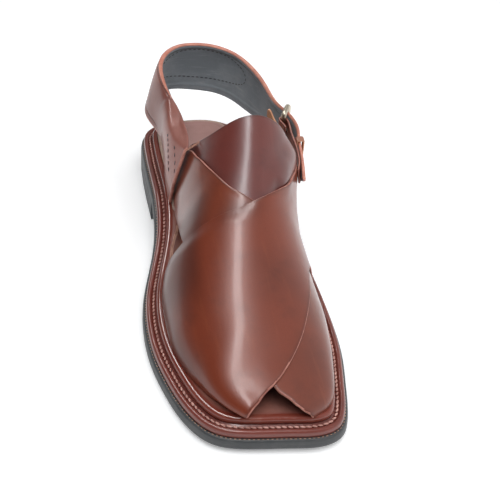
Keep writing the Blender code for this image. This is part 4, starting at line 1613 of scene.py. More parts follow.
@dataclass
class StrapSheet:
    """One leather strap lying on the form between a rear and a front edge."""

    last: Last
    rear: Table
    front: Table
    sweep: tuple[float, float]
    columns: int
    rows: int
    folds: tuple[Fold, ...] = ()
    rounding: float = 0.7
    ragged: float = 0.0
    lip: float = 0.0

    def places(self) -> tuple[Grid, Grid, Grid, Grid]:
        """Lay the strap's grid out on the form.

        Returns:
            Sweep and along of every grid point, and its distance to both edges, mm.
        """
        s = np.linspace(self.sweep[0], self.sweep[1], self.columns)
        rear = eased(self.rear, s)
        front = eased(self.front, s)
        length = np.linalg.norm(self.last.surface(s, front) - self.last.surface(s, rear), axis=1)
        slants = []
        for edge in (rear, front):
            along = unit(np.gradient(self.last.surface(s, edge), axis=0))
            column = unit(self.last.surface(s, edge + 0.2) - self.last.surface(s, edge - 0.2))
            slants.append(np.linalg.norm(np.cross(along, column), axis=1))
        slant = np.clip(np.stack(slants, 1), 0.2, 1)
        v = across_places(length, slant, self.rows)
        yy = rear[:, None] + (front - rear)[:, None] * v
        ss = np.repeat(s[:, None], yy.shape[1], 1)
        base = self.last.point(ss, yy, 3.0)
        dense = np.linspace(self.sweep[0], self.sweep[1], 700)
        near = []
        for table in (self.rear, self.front):
            line = self.last.point(dense, eased(table, dense), 3.0)
            near.append(reach_to(base, line)[0])
        near[0][:, 0] = 0.0
        near[1][:, -1] = 0.0
        return ss, yy, near[0], near[1]

    def skin(
        self,
        outer: Callable[[Grid, Grid, Grid], Grid],
        inner: Callable[[Grid, Grid], Grid],
        seed: int,
        tone: Callable[[Grid, Grid], Grid] | None = None,
        dyed: float = 0.0,
    ) -> Skin:
        """Shape the strap.

        Args:
            outer: offset of the outer face from the form, from sweep, along and the
                distance to the rear edge.
            inner: offset of the inner face, from sweep and along.
            seed: number that fixes the cut edge's fibres.
            tone: how far the colour is darkened as painted shade, from sweep and along.
            dyed: columns whose rear edge keeps the face's finish.

        Returns:
            The leather skin.
        """
        ss, yy, rear, front = self.places()
        out = outer(ss, yy, rear)
        face = self.last.point(ss, yy, out)
        for fold in self.folds:
            out = out + fold.lift(face, self.last)
        face = self.last.point(ss, yy, out)
        floor = self.last.sole.insole_top(yy) - 0.15
        face[..., 2] = np.maximum(face[..., 2], floor)
        wall = np.maximum(out - inner(ss, yy), 0.25)
        skived = 30 * (wall < 1.2) * (ss < 0.5)
        return Skin(
            face, wall, self.rounding, np.minimum(rear, front), True, self.ragged, seed,
            mark=np.minimum(rear + skived, front), lip=self.lip,
            tone=tone(ss, yy) if tone else 0.0, dyed=dyed,
        )


@dataclass
class FootStraps:
    """Tongue and the two crossed straps; edges are rows of sweep and along.

    Attributes:
        tongue_grid: columns along the sweep and rows across; under_grid and over_grid
            are the same.
        glued: room between the tongue and a strap on it, mm.
        overlap: how far the over strap sinks where no strap lies below it, mm.
        cut: rounding, stray fibres and margin of the cut edges, mm.
        toe_crest: distances along the shoe, and the sweep of the toe's crest there.
        gape: how far the over strap stands off the tongue beside the buckle, mm.
        skived: how much thinner the over strap's outer rear edge is, mm.
        dyed_share: share of the over strap's rear edge that is dyed.
    """

    last: Last
    looks: Finishes
    tongue_span: tuple[float, float] = (0.1, 0.9)
    tongue_grid: tuple[int, int] = (150, 46)
    under_grid: tuple[int, int] = (230, 64)
    over_grid: tuple[int, int] = (250, 96)
    tongue_wall: float = 1.8
    under_wall: float = 2.0
    over_wall: float = 2.2
    glued: float = 0.3
    overlap: float = 0.7
    cut: Place = (1.0, 0.16, 0.76)
    over_rear: Table = (
        (0, 150), (0.06, 163), (0.13, 171.5), (0.2, 174.5), (0.3, 175.8), (0.41, 175.8), (0.494, 173.5),
        (0.569, 169), (0.65, 161), (0.694, 156), (0.75, 147), (0.819, 135), (0.856, 127), (0.92, 122),
        (1, 120),
    )
    over_front: Table = (
        (0, 277.5), (0.225, 278), (0.469, 273.5), (0.513, 270.5), (0.544, 267), (0.594, 260.5),
        (0.65, 251), (0.694, 240), (0.738, 226), (0.775, 212), (0.819, 201), (0.9, 192), (1, 187),
    )
    under_rear: Table = (
        (0, 98), (0.1, 101), (0.194, 109), (0.238, 123), (0.281, 135), (0.356, 152), (0.413, 162),
        (0.55, 176), (0.75, 186), (1, 183),
    )
    under_front: Table = (
        (0, 108.5), (0.03, 116), (0.075, 134), (0.12, 150), (0.169, 165), (0.3, 215), (0.4, 252),
        (0.475, 273.5), (0.525, 279.5), (0.619, 284.7), (0.8, 287), (1, 286),
    )
    tongue_rear: Table = (
        (0.1, 97), (0.175, 101.5), (0.238, 111), (0.312, 118.5), (0.363, 121), (0.413, 122.3),
        (0.5, 123.5), (0.6, 124), (0.69, 123.2), (0.756, 123), (0.8, 125), (0.86, 129), (0.9, 132),
    )
    tongue_front: Table = ((0.1, 150), (0.3, 186), (0.5, 205), (0.7, 190), (0.9, 160))
    toe_crest: Table = (
        (228, 240, 247, 253, 264, 270, 280), (0.33, 0.3, 0.26, 0.205, 0.12, 0.08, 0.06),
    )
    toe_rise: float = 2.6
    gape: float = 1.2
    skived: float = 1.15
    dyed_share: float = 0.47
    fray: Stitch = Stitch(6.5, 0.75, 0.6, 1.9, 2.0, 0.1, 23)
    fray_line: Table = (
        (31.6, 127.6, 21.2), (33.4, 133.6, 21.9), (35.7, 139.4, 22.3), (37.8, 145.2, 22.1),
        (39.6, 150.6, 21.7), (40.8, 155.2, 21.1),
    )
    over_folds: tuple[Fold, ...] = (
        Fold(((0.36, 176.8), (0.42, 178.5), (0.50, 180.5), (0.56, 183.0)), 1.8, 0.13),
        Fold(((0.39, 181.0), (0.44, 183.0), (0.50, 186.5)), 1.8, -0.1),
    )
    under_folds: tuple[Fold, ...] = (Fold(((0.36, 156.5), (0.41, 165.5), (0.45, 171.0)), 1.6, -0.1),)

    def build(self) -> None:
        """Build and dress the tongue and both straps."""
        looks, whole = self.looks, (0.0, 1.0)
        edges = (self.tongue_rear, self.tongue_front)
        sheet = StrapSheet(self.last, *edges, self.tongue_span, *self.tongue_grid)
        obj = sheet.skin(self._tongue_face, self._tongue_in, 2).build("tongue_leather")
        dress(obj, "tongue", looks.tongue, looks.flesh, looks.tongue)
        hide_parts("tongue")

        edges = (self.under_rear, self.under_front)
        sheet = StrapSheet(self.last, *edges, whole, *self.under_grid, self.under_folds, *self.cut)
        obj = sheet.skin(self._under_face, self._under_in, 4, self._under_painted_shade).build("under_strap")
        dress(obj, "upper", looks.under, looks.flesh, looks.raw)
        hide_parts("upper")

        edges = (self.over_rear, self.over_front)
        sheet = StrapSheet(self.last, *edges, whole, *self.over_grid, self.over_folds, *self.cut)
        dyed = self.dyed_share * sheet.columns
        skin = sheet.skin(self._over_face, self._over_in, 6, self._over_painted_shade, dyed)
        obj = skin.build("over_strap")
        dress(obj, "upper", looks.over, looks.flesh, looks.raw)
        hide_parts("upper")

        line = np.array(self.fray_line)
        out = np.array([0.3, 0.0, 1.0])
        self.fray.sew("foot_fray", "upper", looks.fibres, [line, line + (1.0, 0.5, 0.5)], [out, out])

    def _tongue_face(self, s: Grid, y: Grid, _rear: Grid) -> Grid:
        """Offset of the tongue's outer face, fuller beside the buckle.

        Args:
            s, y: sweep and along.
            _rear: not needed here.

        Returns:
            Distances from the form, mm.
        """
        hidden = eased(self.over_rear, s) - y
        full = ramp(s, 0.56, 0.72) * ramp(hidden + 6.5 * ramp(s, 0.63, 0.7), 0, 9)
        return self.tongue_wall + 3.6 * full * (1 - 0.85 * ramp(hidden, 7, 25))

    def _tongue_in(self, s: Grid, y: Grid) -> Grid:
        """Offset of the tongue's inner face."""
        return self._tongue_face(s, y, s) - self.tongue_wall

    def _under_in(self, s: Grid, _y: Grid) -> Grid:
        """Offset of the under strap's inner face."""
        return 0 * s + (self.tongue_wall + self.glued)

    def _under_face(self, s: Grid, y: Grid, _rear: Grid) -> Grid:
        """Offset of the under strap's outer face."""
        return self._under_in(s, y) + self.under_wall

    def _covers(self, s: Grid, y: Grid) -> Grid:
        """1 where the under strap lies below the over strap, 0 away from it."""
        rear = ramp(y - eased(self.under_rear, s), -4, 0)
        return rear * ramp(eased(self.under_front, s) - y, -4, 0)

    def _gaping(self, s: Grid, y: Grid) -> Grid:
        """How far the over strap's rear edge stands off the tongue on the buckle side."""
        side = ramp(s, 0.48, 0.58) * (1 - ramp(s, 0.7, 0.8))
        return self.gape * side * (1 - ramp(y - eased(self.over_rear, s), 0, 12))

    def _over_in(self, s: Grid, y: Grid) -> Grid:
        """Offset of the over strap's inner face, lying on the under strap."""
        free = self._under_face(s, y, s) - self.overlap + self._gaping(s, y)
        return free + (self.overlap + 0.05) * self._covers(s, y)

    def _over_face(self, s: Grid, y: Grid, rear: Grid) -> Grid:
        """Offset of the over strap's outer face: skived at the rear on the outer side.

        Args:
            s, y: sweep and along.
            rear: distance to the rear edge, mm.

        Returns:
            Distances from the form, mm.
        """
        full = self._under_face(s, y, s) - self.overlap + self.over_wall + self._gaping(s, y)
        skive = (1 - ramp(s, 0.44, 0.52)) * (1 - ramp(rear, 0, 10))
        crest = np.interp(y, *self.toe_crest)
        rise = ramp(y, 236, 268) + 0.6 * ramp(y, 264, 278)
        toe = rise * bump((s - crest) / 0.15) * ramp(s, 0, 0.06)
        return full - self.skived * skive + self.toe_rise * toe

    def _over_painted_shade(self, s: Grid, y: Grid) -> Grid:
        """Painted shade: darker, duller leather on the over strap's rear outer flank and outer foot.

        Args:
            s, y: sweep and along.

        Returns:
            How far the colour is darkened as painted shade, 0 to 1.
        """
        # painted shade on the rear outer flank, the outer foot and the crease
        flank = (1 - ramp(s, 0.25, 0.315)) * (1 - ramp(y, 200, 232))
        foot = (1 - ramp(s, 0.04, 0.2)) * (1 - ramp(y, 235, 275))
        return np.maximum(np.maximum(flank, foot), self._crease_painted_shade(s, y))

    @staticmethod
    def _crease_painted_shade(s: Grid, y: Grid) -> Grid:
        """Painted shade: darker, duller leather where both straps crease below the tongue."""
        # painted shade in the crease
        return 0.85 * bump((s - 0.45) / 0.08, (y - 176) / 7)

    def _under_painted_shade(self, s: Grid, y: Grid) -> Grid:
        """Painted shade: darker leather where the under strap runs below the over strap."""
        # painted shade where the over strap lies over it
        band = ramp(y, 146, 160) * (1 - ramp(y, 185, 200))
        return np.maximum((1 - ramp(s, 0.25, 0.36)) * band, self._crease_painted_shade(s, y))


# ---- heel strap and buckle


@dataclass
class HeelStrap:
    """The band round the heel with its outer ear and its free end.

    Rows: top edge across, along, height; ridge across, along, height; low edge
    across, along, height; wall, mm.
    """

    looks: Finishes
    rows: Table = (
        (23.6, 113, 68.8, 29.4, 115, 56, 33.6, 106.5, 25.3, 2),
        (22.2, 100, 69.5, 29.8, 99, 60, 33.2, 95.5, 28.7, 2),
        (20.8, 84, 69, 28.8, 84, 61.5, 31.2, 80, 29.6, 2.2),
        (19.8, 70, 68.4, 27.4, 70, 63, 29.4, 66, 37, 2.5),
        (19.4, 56, 68.6, 25.8, 56, 65.5, 29.8, 50, 41, 2.8),
        (22.5, 44, 70.5, 26.3, 43, 67, 32.3, 38, 42, 3),
        (24.4, 24, 74.8, 27.3, 24, 68.5, 34.6, 22, 43.5, 3),
        (19.3, 5, 78.6, 22, 4.5, 71, 27.5, 4, 45.5, 3),
        (8.5, -4, 80.7, 10.3, -4.8, 72.5, 14.5, -5, 47, 3),
        (-6, -3.8, 82, -5.2, -5, 73.5, -3, -4, 46.5, 3), (-19, 0, 81.4, -19.2, -1, 73, -18.5, 2, 46, 3),
        (-30, 9, 80, -30.5, 8.8, 72, -29, 12.5, 45.5, 3),
        (-38, 26, 78.2, -38.6, 26.5, 70.5, -35.5, 30, 46, 3),
        (-42.3, 52, 75.8, -43, 52, 69, -41, 54, 49, 2.8),
        (-44.3, 75, 73.8, -44.9, 75, 68, -44.2, 76, 53.5, 2.3),
        (-48.8, 89, 72.6, -49.2, 89, 67.5, -48, 89, 54.5, 2.2),
        (-50.3, 100, 70.4, -50.5, 99, 65.8, -49.3, 97, 54, 2.2),
        (-47.8, 112.5, 67.6, -48.5, 111, 63.2, -48.2, 106, 52, 1.8),
        (-45.8, 126, 63.6, -47, 123, 59.2, -47.6, 114.5, 49, 1.8),
        (-42.8, 141.5, 57.6, -44.6, 138, 54, -46.8, 125, 45.8, 2),
    )
    ridge_at: float = 0.3
    stations: int = 300
    middle_rows: int = 26
    steps: tuple[float, ...] = (0.0, 0.1, 0.28, 0.6, 1.0, 1.6, 2.4, 2.95, 3.2, 3.45, 4.0)
    groove: float = 0.28
    groove_at: float = 3.3
    rounding: float = 1.1
    ragged: float = 0.05
    lip: float = 1.35
    ear_end: float = 0.205
    ear_fades: float = 0.225
    crease: Table = ((0, 0.02, 0.065, 0.113, 0.164, 0.21), (0.05, 0.09, 0.2, 0.25, 0.23, 0.15))
    ear_ridge: float = 1.4
    ear_turn: float = 2.0
    slot_low: Place = (-54.0, 82.8, 62.6)
    slot_high: Place = (-44.0, 93.2, 65.4)
    slot_round: float = 1.3
    edge_stitch: Stitch = Stitch(1.5, 0.45, 0.32, 2.3, 0.0, 0.06, 13)
    ear_stitch: Stitch = Stitch(2.9, 0.8, 0.4, 3.9, 0.0, 0.1, 19)
    panel_stitch: Stitch = Stitch(2.3, 0.75, 0.5, 3.2, 0.0, 0.08, 15)
    fray: Stitch = Stitch(1.0, 0.2, 0.18, 0.26, 60.0, 0.7, 29)
    fray_line: Table = (
        (25.4, 113.2, 66.4), (24, 113.2, 68.2), (22.2, 113.6, 69.4), (19.6, 113.2, 70.9),
        (16.4, 112.2, 71.9),
    )

    def _lines(self, u: Grid) -> Grid:
        """The band's numbers at each place along it.

        Args:
            u: places along the band.

        Returns:
            One row of numbers for each place.
        """
        table = np.array(self.rows)
        middle = (table[:, 0:3] + table[:, 3:6] + table[:, 6:9]) / 3
        t = running_length(middle)
        return spline(t, table, u * t[-1])

    def face(self, u: Any, v: Any) -> Grid:
        """Outer face point.

        Args:
            u, v: places along the band from the ear and across it from its top, 0 to 1.

        Returns:
            Points with one more axis than u and v.
        """
        u, v = np.broadcast_arrays(u, v)
        lines = self._lines(u.ravel())
        h1, h2 = self.ridge_at, 1 - self.ridge_at
        p0, p1, p2 = lines[:, 0:3], lines[:, 3:6], lines[:, 6:9]
        bend = 6 * ((p2 - p1) / h2 - (p1 - p0) / h1) / (2 * (h1 + h2))
        w = v.ravel()[:, None]
        upper = p0 * (h1 - w) / h1 + p1 * w / h1 + bend * (w**3 / (6 * h1) - h1 * w / 6)
        x = 1 - w
        lower = p2 * (h2 - x) / h2 + p1 * x / h2 + bend * (x**3 / (6 * h2) - h2 * x / 6)
        return np.where(w < h1, upper, lower).reshape(u.shape + (3,))

    def wall(self, u: Grid) -> Grid:
        """Thickness along the band."""
        return self._lines(u)[..., 9]

    def normal(self, u: Grid, v: Grid) -> Grid:
        """Outward normal of the outer face.

        Args:
            u, v: places along and across the band.

        Returns:
            Directions of length one.
        """
        e = 0.002
        along = self.face(np.minimum(u + e, 1.0), v) - self.face(np.maximum(u - e, 0.0), v)
        down = self.face(u, np.minimum(v + e, 1.0)) - self.face(u, np.maximum(v - e, 0.0))
        return unit(np.cross(along, down))

    def width(self, u: Grid) -> Grid:
        """Width of the band, measured over the middle of its face."""
        middle = self.face(u, 0.5)
        return sum(np.linalg.norm(self.face(u, v) - middle, axis=-1) for v in (0.0, 1.0))

    def ear(self, u: Grid) -> Grid:
        """1 on the ear, 0 on the rest of the band."""
        return 1 - ramp(u, self.ear_end, self.ear_fades)

    def turned_over(self, u: Grid, v: Grid) -> Grid:
        """Lift of the ear: a soft crease below its turned top edge, mm.

        Args:
            u, v: places along and across the band.

        Returns:
            Distances along the outward normal.
        """
        below = (v - np.interp(u, *self.crease)) * self.width(u)
        ridge = np.exp(-np.abs(below / np.where(below < 0.0, 3.0, 9.0)) ** 1.5)
        turned = self.ear_turn * ramp(-below, 0, 8)
        return self.ear(u) * (self.ear_ridge * ridge - turned)

    def build(self) -> None:
        """Build and dress the band, its stitches and its lining's seams."""
        u = np.linspace(0, 1, self.stations)
        ends = np.array([0.0, 0.0004, 0.0012, 0.0026, 0.0045])
        u = np.unique(np.concatenate([u, ends, 1 - ends]))
        width = self.width(u)
        v = across_places(width, np.ones((len(u), 2)), self.middle_rows, self.steps)
        uu = np.repeat(u[:, None], v.shape[1], 1)
        length = running_length(self.face(u, 0.5))
        to_end = np.minimum(length, length[-1] - length)[:, None]
        to_low = np.minimum((1 - v) * width[:, None], to_end)
        near = np.minimum(v * width[:, None], to_low)
        groove = self.groove * bump((near - self.groove_at) / 0.45)
        lift = self.turned_over(uu, v) - groove * (1 - self.ear(uu))
        skin = Skin(
            self.face(uu, v) + self.normal(uu, v) * lift[..., None],
            np.repeat(self.wall(u)[:, None], v.shape[1], 1),
            self.rounding, near, ragged=self.ragged, seed=8,
            mark=np.minimum(v * width[:, None] + 30 * (uu < self.ear_end), to_low),
            lip=self.lip, back_lip=np.where((v < 0.5) | (uu < 0.02), self.lip, -1.0),
            dyed=np.sum(u < self.ear_end),
        )
        obj = skin.build("heel_strap_leather")
        self._raw_ear(obj)
        looks = self.looks
        dress(obj, "heel_strap", looks.heel, looks.lining, looks.painted, looks.raw)
        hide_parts("heel_strap")
        cut_out(obj, self.slot_low, self.slot_high, self.slot_round)
        self._stitches()

    @staticmethod
    def _raw_ear(obj: Piece) -> None:
        """Give the ear's cut edges the raw finish.

        Args:
            obj: the band.
        """
        mesh = obj.data
        centres = np.zeros(3 * len(mesh.polygons))
        places = np.zeros(len(mesh.polygons), np.int32)
        mesh.polygons.foreach_get("center", centres)
        mesh.polygons.foreach_get("material_index", places)
        x, y, _ = centres.reshape(-1, 3).T
        places[(places == Side.EDGE.value) & (x < 0.0) & (y < 0.05)] = Side.RAW.value
        mesh.polygons.foreach_set("material_index", places)

    def _row(self, first: float, last: float, inset: float, top: bool) -> tuple[Grid, Grid]:
        """A line on the outer face at a distance from one long edge.

        Args:
            first, last: its start and end along the band.
            inset: distance from the edge, mm.
            top: True for the top edge, False for the low edge.

        Returns:
            Points and outward directions.
        """
        u = np.linspace(first, last, 260)
        v = inset / np.linalg.norm(self.face(u, 0.0) - self.face(u, 1.0), axis=1)
        v = v if top else 1 - v
        n = self.normal(u, v)
        return self.face(u, v) - n * 0.1, n

    def _stitches(self) -> None:
        """Edge seams outside, the ear's two rows and the lining's oval panel."""
        slot, looks = "heel_strap", self.looks
        at = self.groove_at
        rows = (self._row(0.24, 0.80, at, True), self._row(0.17, 0.80, at, False))
        self.edge_stitch.sew("heel_strap_stitches", slot, looks.fine_thread, *zip(*rows))
        lines, rises = [], []
        for places in (
            ((0.098, 0.33), (0.07, 0.38), (0.05, 0.46), (0.032, 0.58)),
            ((0.040, 0.24), (0.028, 0.28), (0.016, 0.34), (0.009, 0.42)),
        ):
            u, v = spline(np.linspace(0, 1, 4), places, np.linspace(0, 1, 60)).T
            rises.append(self.normal(u, v))
            lift = (self.turned_over(u, v) + 0.12)[:, None]
            lines.append(self.face(u, v) + rises[-1] * lift)
        self.ear_stitch.sew("ear_stitches", slot, looks.dark_thread, lines, rises)
        line = np.array(self.fray_line)
        out = np.array([0.0, 0.5, 1.0])
        self.fray.sew("ear_fray", slot, looks.fibres, [line, line + (0.3, 0.6, -0.5)], [out, out])
        a = np.linspace(0, 2 * math.pi, 400, endpoint=False)
        c, s = np.cos(a), np.sin(a)
        u = 0.49 + 0.135 * np.sign(c) * np.abs(c) ** 0.9
        v = 0.45 + 0.31 * np.sign(s) * np.abs(s) ** 0.9
        n = self.normal(u, v)
        line = self.face(u, v) - n * (self.wall(u) + 0.02)[:, None]
        self.panel_stitch.sew("lining_stitches", slot, looks.dark_thread, [line], [-n], True)


@dataclass
class Buckle:
    """Holder strap, loop, prong and keeper on the inner side.

    The holder's rows are its top and its low edge; the keeper's rows are its place
    along the shoe, its inner and outer side, its bottom and its top, mm.
    """

    looks: Finishes
    holder: Table = (
        (-39.6, 135.5, 61, -41.8, 134.5, 50.5), (-41.9, 130, 63.2, -43.5, 129.5, 51.5),
        (-42.8, 122, 67, -44.1, 121.5, 53.5), (-42.8, 114, 69.6, -43.2, 114, 55),
        (-43.4, 105, 70.8, -43.6, 105, 56.5), (-44.6, 97.5, 71.2, -44.6, 97.5, 57),
        (-44.9, 92.8, 71.2, -44.9, 92.8, 57), (-44.1, 89.6, 71.2, -44.1, 89.6, 57),
        (-41.8, 88.7, 71.2, -41.8, 88.7, 57), (-40.1, 91.3, 71.2, -40.1, 91.3, 57),
        (-40.7, 96, 71.2, -40.8, 96, 57), (-41.3, 101, 70.9, -41.4, 101, 56.7),
    )
    holder_tip: Table = (
        (-41.6, 99, 67, -41.6, 99, 58), (-38.2, 94.2, 69, -38.2, 94, 60),
        (-36.4, 91.8, 71.8, -36.4, 91.6, 63), (-35.1, 90.4, 74.8, -35.1, 90.2, 67),
        (-34.2, 89.4, 76.7, -34.2, 89.2, 69.5), (-33.2, 88.4, 77.2, -33.2, 88.4, 71.5),
        (-32.6, 87.8, 76.3, -32.6, 87.8, 72.6),
    )
    holder_stations: int = 170
    tip_stations: int = 40
    holder_wall: float = 1.4
    holder_rounding: float = 0.45
    holder_ragged: float = 0.06
    slot_low: Place = (-47.0, 84.0, 62.5)
    slot_high: Place = (-38.4, 97.0, 65.5)
    slot_round: float = 1.3
    loop: Table = ((-48.6, 81.4, 75.4), (-42.6, 91.4, 74.6), (-42.6, 91.4, 52.6), (-48.6, 81.4, 50.8))
    wire: float = 1.2
    wire_deeper: float = 1.45
    bend: float = 2.4
    prong: Table = (
        (-43, 94, 64), (-45.2, 92.2, 64), (-48.3, 88.4, 64), (-51.1, 82.4, 64), (-51.5, 79.2, 64),
    )
    prong_radius: float = 0.9
    keeper: Table = (
        (111, -45.6, -49.1, 48.9, 68.6), (113, -45.5, -49, 48.4, 68.1), (115, -45.4, -48.8, 47.8, 67.6),
    )
    keeper_wall: float = 1.0

    def build(self) -> None:
        """Build and dress every piece."""
        self._holder()
        self._loop()
        self._prong()
        self._keeper()

    def _holder(self) -> None:
        """Holder strap folded round the loop, slotted for the prong, and its tip."""
        looks = self.looks
        obj = self._band(self.holder, self.holder_stations, 9).build("holder_strap")
        dress(obj, "buckle_holder", looks.holder, looks.holder, looks.raw)
        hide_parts("buckle_holder")
        cut_out(obj, self.slot_low, self.slot_high, self.slot_round)
        obj = self._band(self.holder_tip, self.tip_stations, 21).build("holder_tip")
        dress(obj, "buckle_holder", looks.tan, looks.tan, looks.tan)

    def _band(self, rows: Table, stations: int, seed: int) -> Skin:
        """Upright strip of leather along rows of top and low edge points.

        Args:
            rows: across, along and height of the top edge and of the low edge, mm.
            stations: rows of faces along it.
            seed: number that fixes the cut edge's fibres.

        Returns:
            The strip.
        """
        table = np.array(rows)
        t = running_length(table[:, :2])
        line = spline(t, table, np.linspace(0, t[-1], stations))
        top, low = line[:, :3], line[:, 3:]
        width = np.linalg.norm(low - top, axis=1)
        v = across_places(width, np.ones((len(line), 2)), 12)
        middle = top[:, None] + (low - top)[:, None] * v[..., None]
        tangent = unit(np.gradient(middle[..., :2], axis=0))
        side = np.stack([-tangent[..., 1], tangent[..., 0], 0 * v], -1)
        along = running_length(top)
        to_end = np.minimum(along, along[-1] - along)[:, None]
        near = np.minimum(np.minimum(v, 1 - v) * width[:, None], to_end)
        face = middle - side * self.holder_wall / 2
        skin = Skin(face, self.holder_wall, self.holder_rounding, near)
        skin.inward = bool((skin.normals() * side).sum(-1).mean() > 0.0)
        skin.ragged, skin.seed = self.holder_ragged, seed
        return skin

    def _loop(self) -> None:
        """Rounded wire loop."""
        corners = np.array(self.loop)
        path = []
        for p, before, after in zip(corners, np.roll(corners, 1, 0), np.roll(corners, -1, 0)):
            a, b = unit(before - p) * self.bend, unit(after - p) * self.bend
            path += [p + (1 - f) ** 2 * a + f**2 * b for f in np.linspace(0, 1, 9)]
            start, end = path[-1], after + unit(p - after) * self.bend
            path += [start + (end - start) * f for f in (0.25, 0.5, 0.75)]
        line = np.array(path)
        flat = unit(np.cross(corners[1] - corners[0], corners[2] - corners[1]))
        tangent = unit(np.roll(line, -1, 0) - np.roll(line, 1, 0))
        wide = np.cross(tangent, flat) * self.wire
        tall = np.tile(flat * self.wire * self.wire_deeper, (len(line), 1))
        obj = self._rod("buckle_loop", line, wide, tall, 18, closed=True)
        dress(obj, "buckle_metal", self.looks.metal)
        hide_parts("buckle_frame")

    def _prong(self) -> None:
        """Prong with a rounded, slightly tapered tip."""
        rows = np.array(self.prong)
        t = running_length(rows)
        u = np.linspace(0, 1, 44)
        line = spline(t, rows, u * t[-1])
        tangent = unit(np.gradient(line, axis=0))
        side = unit(np.cross(tangent, UP))
        tip = np.sqrt(np.clip(1 - (np.clip(u - 0.95, 0, 1) / 0.0502) ** 2, 0.0004, 1))
        heel = np.sqrt(np.clip(1 - (np.clip(0.04 - u, 0, 1) / 0.0402) ** 2, 0.0004, 1))
        radius = (self.prong_radius * tip * heel * (1 - 0.22 * ramp(u, 0.4, 1)))[:, None]
        up = np.cross(side, tangent)
        obj = self._rod("buckle_tongue", line, side * radius, up * radius, 16, closed=False)
        dress(obj, "buckle_metal", self.looks.metal)
        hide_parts("buckle_prong")

    @staticmethod
    def _rod(name: str, line: Grid, wide: Grid, tall: Grid, sides: int, closed: bool) -> Piece:
        """Sweep an oval along a line.

        Args:
            name: the piece's name.
            line: middles of the ovals.
            wide, tall: the two half axes of each oval.
            sides: points round an oval.
            closed: True where the last oval joins the first.

        Returns:
            The mesh object.
        """
        a = np.linspace(0, 2 * math.pi, sides, endpoint=False)[None, :, None]
        points = line[:, None] + wide[:, None] * np.cos(a) + tall[:, None] * np.sin(a)
        idx = np.arange(len(line) * sides).reshape(-1, sides)
        if closed:
            faces = hoops(idx, np.roll(idx, -1, 0)).tolist()
        else:
            faces = hoops(idx[:-1], idx[1:]).tolist() + [idx[0].tolist(), idx[-1].tolist()]
        return new_piece(name, points.reshape(-1, 3), faces)

    def _keeper(self) -> None:
        """Leather loop round the holder and the free end."""
        u = np.array([0.0, 0.06, 0.14, 0.3, 0.5, 0.7, 0.86, 0.94, 1.0])
        shrink = np.array([0.28, 0.1, 0.02, 0.0, 0.0, 0.0, 0.02, 0.1, 0.28])
        verts = []
        for row, less in zip(spline(np.linspace(0, 1, 3), self.keeper, u), shrink):
            along, inner, outer, low, top = row
            for g in (less, self.keeper_wall - less):
                ring = rounded_box((outer - g, low - g), (inner + g, top + g), 0.5 + g, 8)
                verts.append(np.insert(ring, 1, along, axis=1))
        idx = np.arange(2 * len(u) * len(ring)).reshape(len(u), 2, -1)
        inside, outside = idx[:, 0], idx[:, 1]
        joined = (
            hoops(outside[:-1], outside[1:]),
            hoops(inside[:-1], inside[1:]),
            hoops(inside[[0, -1]], outside[[0, -1]]),
        )
        sides = (Side.FACE.value, Side.BACK.value, Side.EDGE.value)
        slots = np.repeat(sides, [len(quads) for quads in joined])
        near = np.full(idx.size, 1.0)
        verts = np.concatenate(verts)
        obj = new_piece("keeper_loop", verts, np.concatenate(joined), slots, {"near_edge": near})
        dress(obj, "strap_keeper", self.looks.keeper, self.looks.tan, self.looks.tan)
        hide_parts("strap_keeper")


# ---- studio


class LightRole(Enum):
    """What a light is for: even light on the surfaces, or a glint on the polish."""

    FILL = 0
    GLINT = 1


@dataclass(frozen=True)
class Panel:
    """A soft light aimed at the shoe, its second side lying along a direction, m and W."""

    name: str
    place: Place
    aim: Place
    size: tuple[float, float]
    along: Place
    power: float
    role: LightRole

    def build(self) -> None:
        """Place the light."""
        lamp = bpy.data.lights.new(self.name, "AREA")
        lamp.shape = "RECTANGLE"
        lamp.size, lamp.size_y = self.size
        lamp.energy = self.power
        obj = placed(self.name, lamp)
        obj.visible_glossy = self.role is LightRole.GLINT
        obj.visible_diffuse = self.role is LightRole.FILL
        away = (Vector(self.place) - Vector(self.aim)).normalized()
        side = Vector(self.along).cross(away).normalized()
        axes = Matrix((side, away.cross(side), away)).transposed()
        obj.matrix_world = Matrix.Translation(self.place) @ axes.to_4x4()


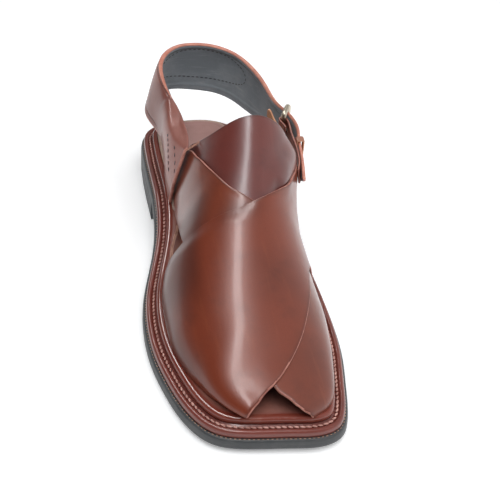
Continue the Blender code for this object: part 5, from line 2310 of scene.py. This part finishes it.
@dataclass
class Studio:
    """Pale floor, soft lights, white surroundings and the camera, m and degrees.

    The surroundings have world_power, with inner_side and horizon added there, and
    show as backdrop; the floor's own light rises from floor_glow to floor_far.
    """

    camera_place: Place = (-0.11891, -0.42309, 0.34893)
    camera_forward: Place = (0.1378, 0.7818, -0.6081)
    camera_right: Place = (0.9848, -0.1736, 0.0)
    camera_turn: float = 6.2
    lens: float = 64.8
    world: Colour = (1.0, 1.0, 1.0)
    world_power: float = 0.08
    inner_side: float = 0.8
    horizon: float = 0.15
    backdrop: float = 1.0
    floor_half: float = 6.0
    floor_glow: float = 0.3
    floor_far: float = 0.84
    panels: tuple[Panel, ...] = (
        Panel("top strip", (-0.12, 0.25, 1.2), (0.0, 0.1, 0.03), (0.17, 2.0),
              (0.06, 1.0, 0.0), 15.5, LightRole.GLINT),
        Panel("overhead fill", (0.0, -0.35, 1.5), (0.0, 0.0, 0.03), (1.8, 1.6),
              (0.0, 1.0, 0.0), 24.0, LightRole.FILL),
    )

    def build(self) -> None:
        """Build the floor, the lights, the surroundings and the camera."""
        self._floor()
        for panel in self.panels:
            panel.build()
        self._surroundings()
        self._camera()

    def _floor(self) -> None:
        """Wide plain floor that fades into the white surroundings."""
        half = self.floor_half
        mesh = bpy.data.meshes.new("floor")
        corners = [(-half, -half, 0), (half, -half, 0), (half, half, 0), (-half, half, 0)]
        mesh.from_pydata(corners, [], [(0, 1, 2, 3)])
        obj = placed("floor", mesh)
        r = Recipe("floor paper")
        r.feed("Base Color", r.mix(r.noise(1.4, 2) * 0.2, (0.90, 0.91, 0.92), (0.87, 0.89, 0.91)))
        r.feed("Roughness", 0.8)
        length = r.node("ShaderNodeVectorMath", {"operation": "LENGTH"}, {0: r.where})
        far = Term(r, length.outputs["Value"]).soft_step(0.5, 3)
        r.feed("Emission Color", r.mix(far, (self.floor_glow,) * 3, (self.floor_far,) * 3))
        r.feed("Emission Strength", 1.0)
        obj.data.materials.append(r.material)
        obj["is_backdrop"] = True

    def _surroundings(self) -> None:
        """Soft surroundings, brighter on the inner side, in front of a white backdrop."""
        scene = bpy.context.scene
        world = bpy.data.worlds.new("white tent")
        world.use_nodes = True
        tree = Tree(world.node_tree)
        x, _, z = tree.parts(tree.node("ShaderNodeTexCoord").outputs["Generated"])
        level = 1 - abs(z).soft_step(0.1, 0.5)
        side = x.soft_step(0.05, 0.95)
        power = self.world_power + side * self.inner_side + level * self.horizon
        seen = Term(tree, tree.node("ShaderNodeLightPath").outputs["Is Camera Ray"])
        power = power + seen * (self.backdrop - power)
        glow = tree.node("ShaderNodeBackground", None, {0: self.world, 1: power})
        tree.node("ShaderNodeOutputWorld", None, {0: glow.outputs[0]})
        scene.world = world
        scene.view_settings.view_transform = "Standard"
        scene.view_settings.look = "None"

    def _camera(self) -> None:
        """Camera over the toe, looking down along the shoe."""
        lens = bpy.data.cameras.new("camera")
        lens.lens = self.lens
        lens.sensor_width = 36.0
        lens.clip_start = 0.01
        obj = placed("camera", lens)
        forward = Vector(self.camera_forward).normalized()
        right = Vector(self.camera_right).normalized()
        up = right.cross(forward).normalized()
        right = forward.cross(up)
        turn = Matrix.Rotation(math.radians(-self.camera_turn), 3, up)
        forward, right = turn @ forward, turn @ right
        axes = Matrix((right, up, -forward)).transposed()
        obj.matrix_world = Matrix.Translation(self.camera_place) @ axes.to_4x4()
        bpy.context.scene.camera = obj


def main() -> None:
    """Build the sandal piece by piece, then the studio, and log each piece's face count."""
    logging.basicConfig(level=logging.INFO, format="%(message)s")
    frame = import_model()
    LOG.info("frame has %d solids", len(frame["nodes"]))
    looks = Finishes()
    form = SoleForm()
    parts = (
        ("sole", Sole(form, looks)),
        ("foot straps", FootStraps(Last(form), looks)),
        ("heel strap", HeelStrap(looks)),
        ("buckle", Buckle(looks)),
        ("studio", Studio()),
    )
    for name, part in parts:
        part.build()
        LOG.info("built %s", name)
    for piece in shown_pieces():
        LOG.info("%s: %d faces", piece.name, len(piece.data.polygons))


if __name__ == "__main__":
    main()
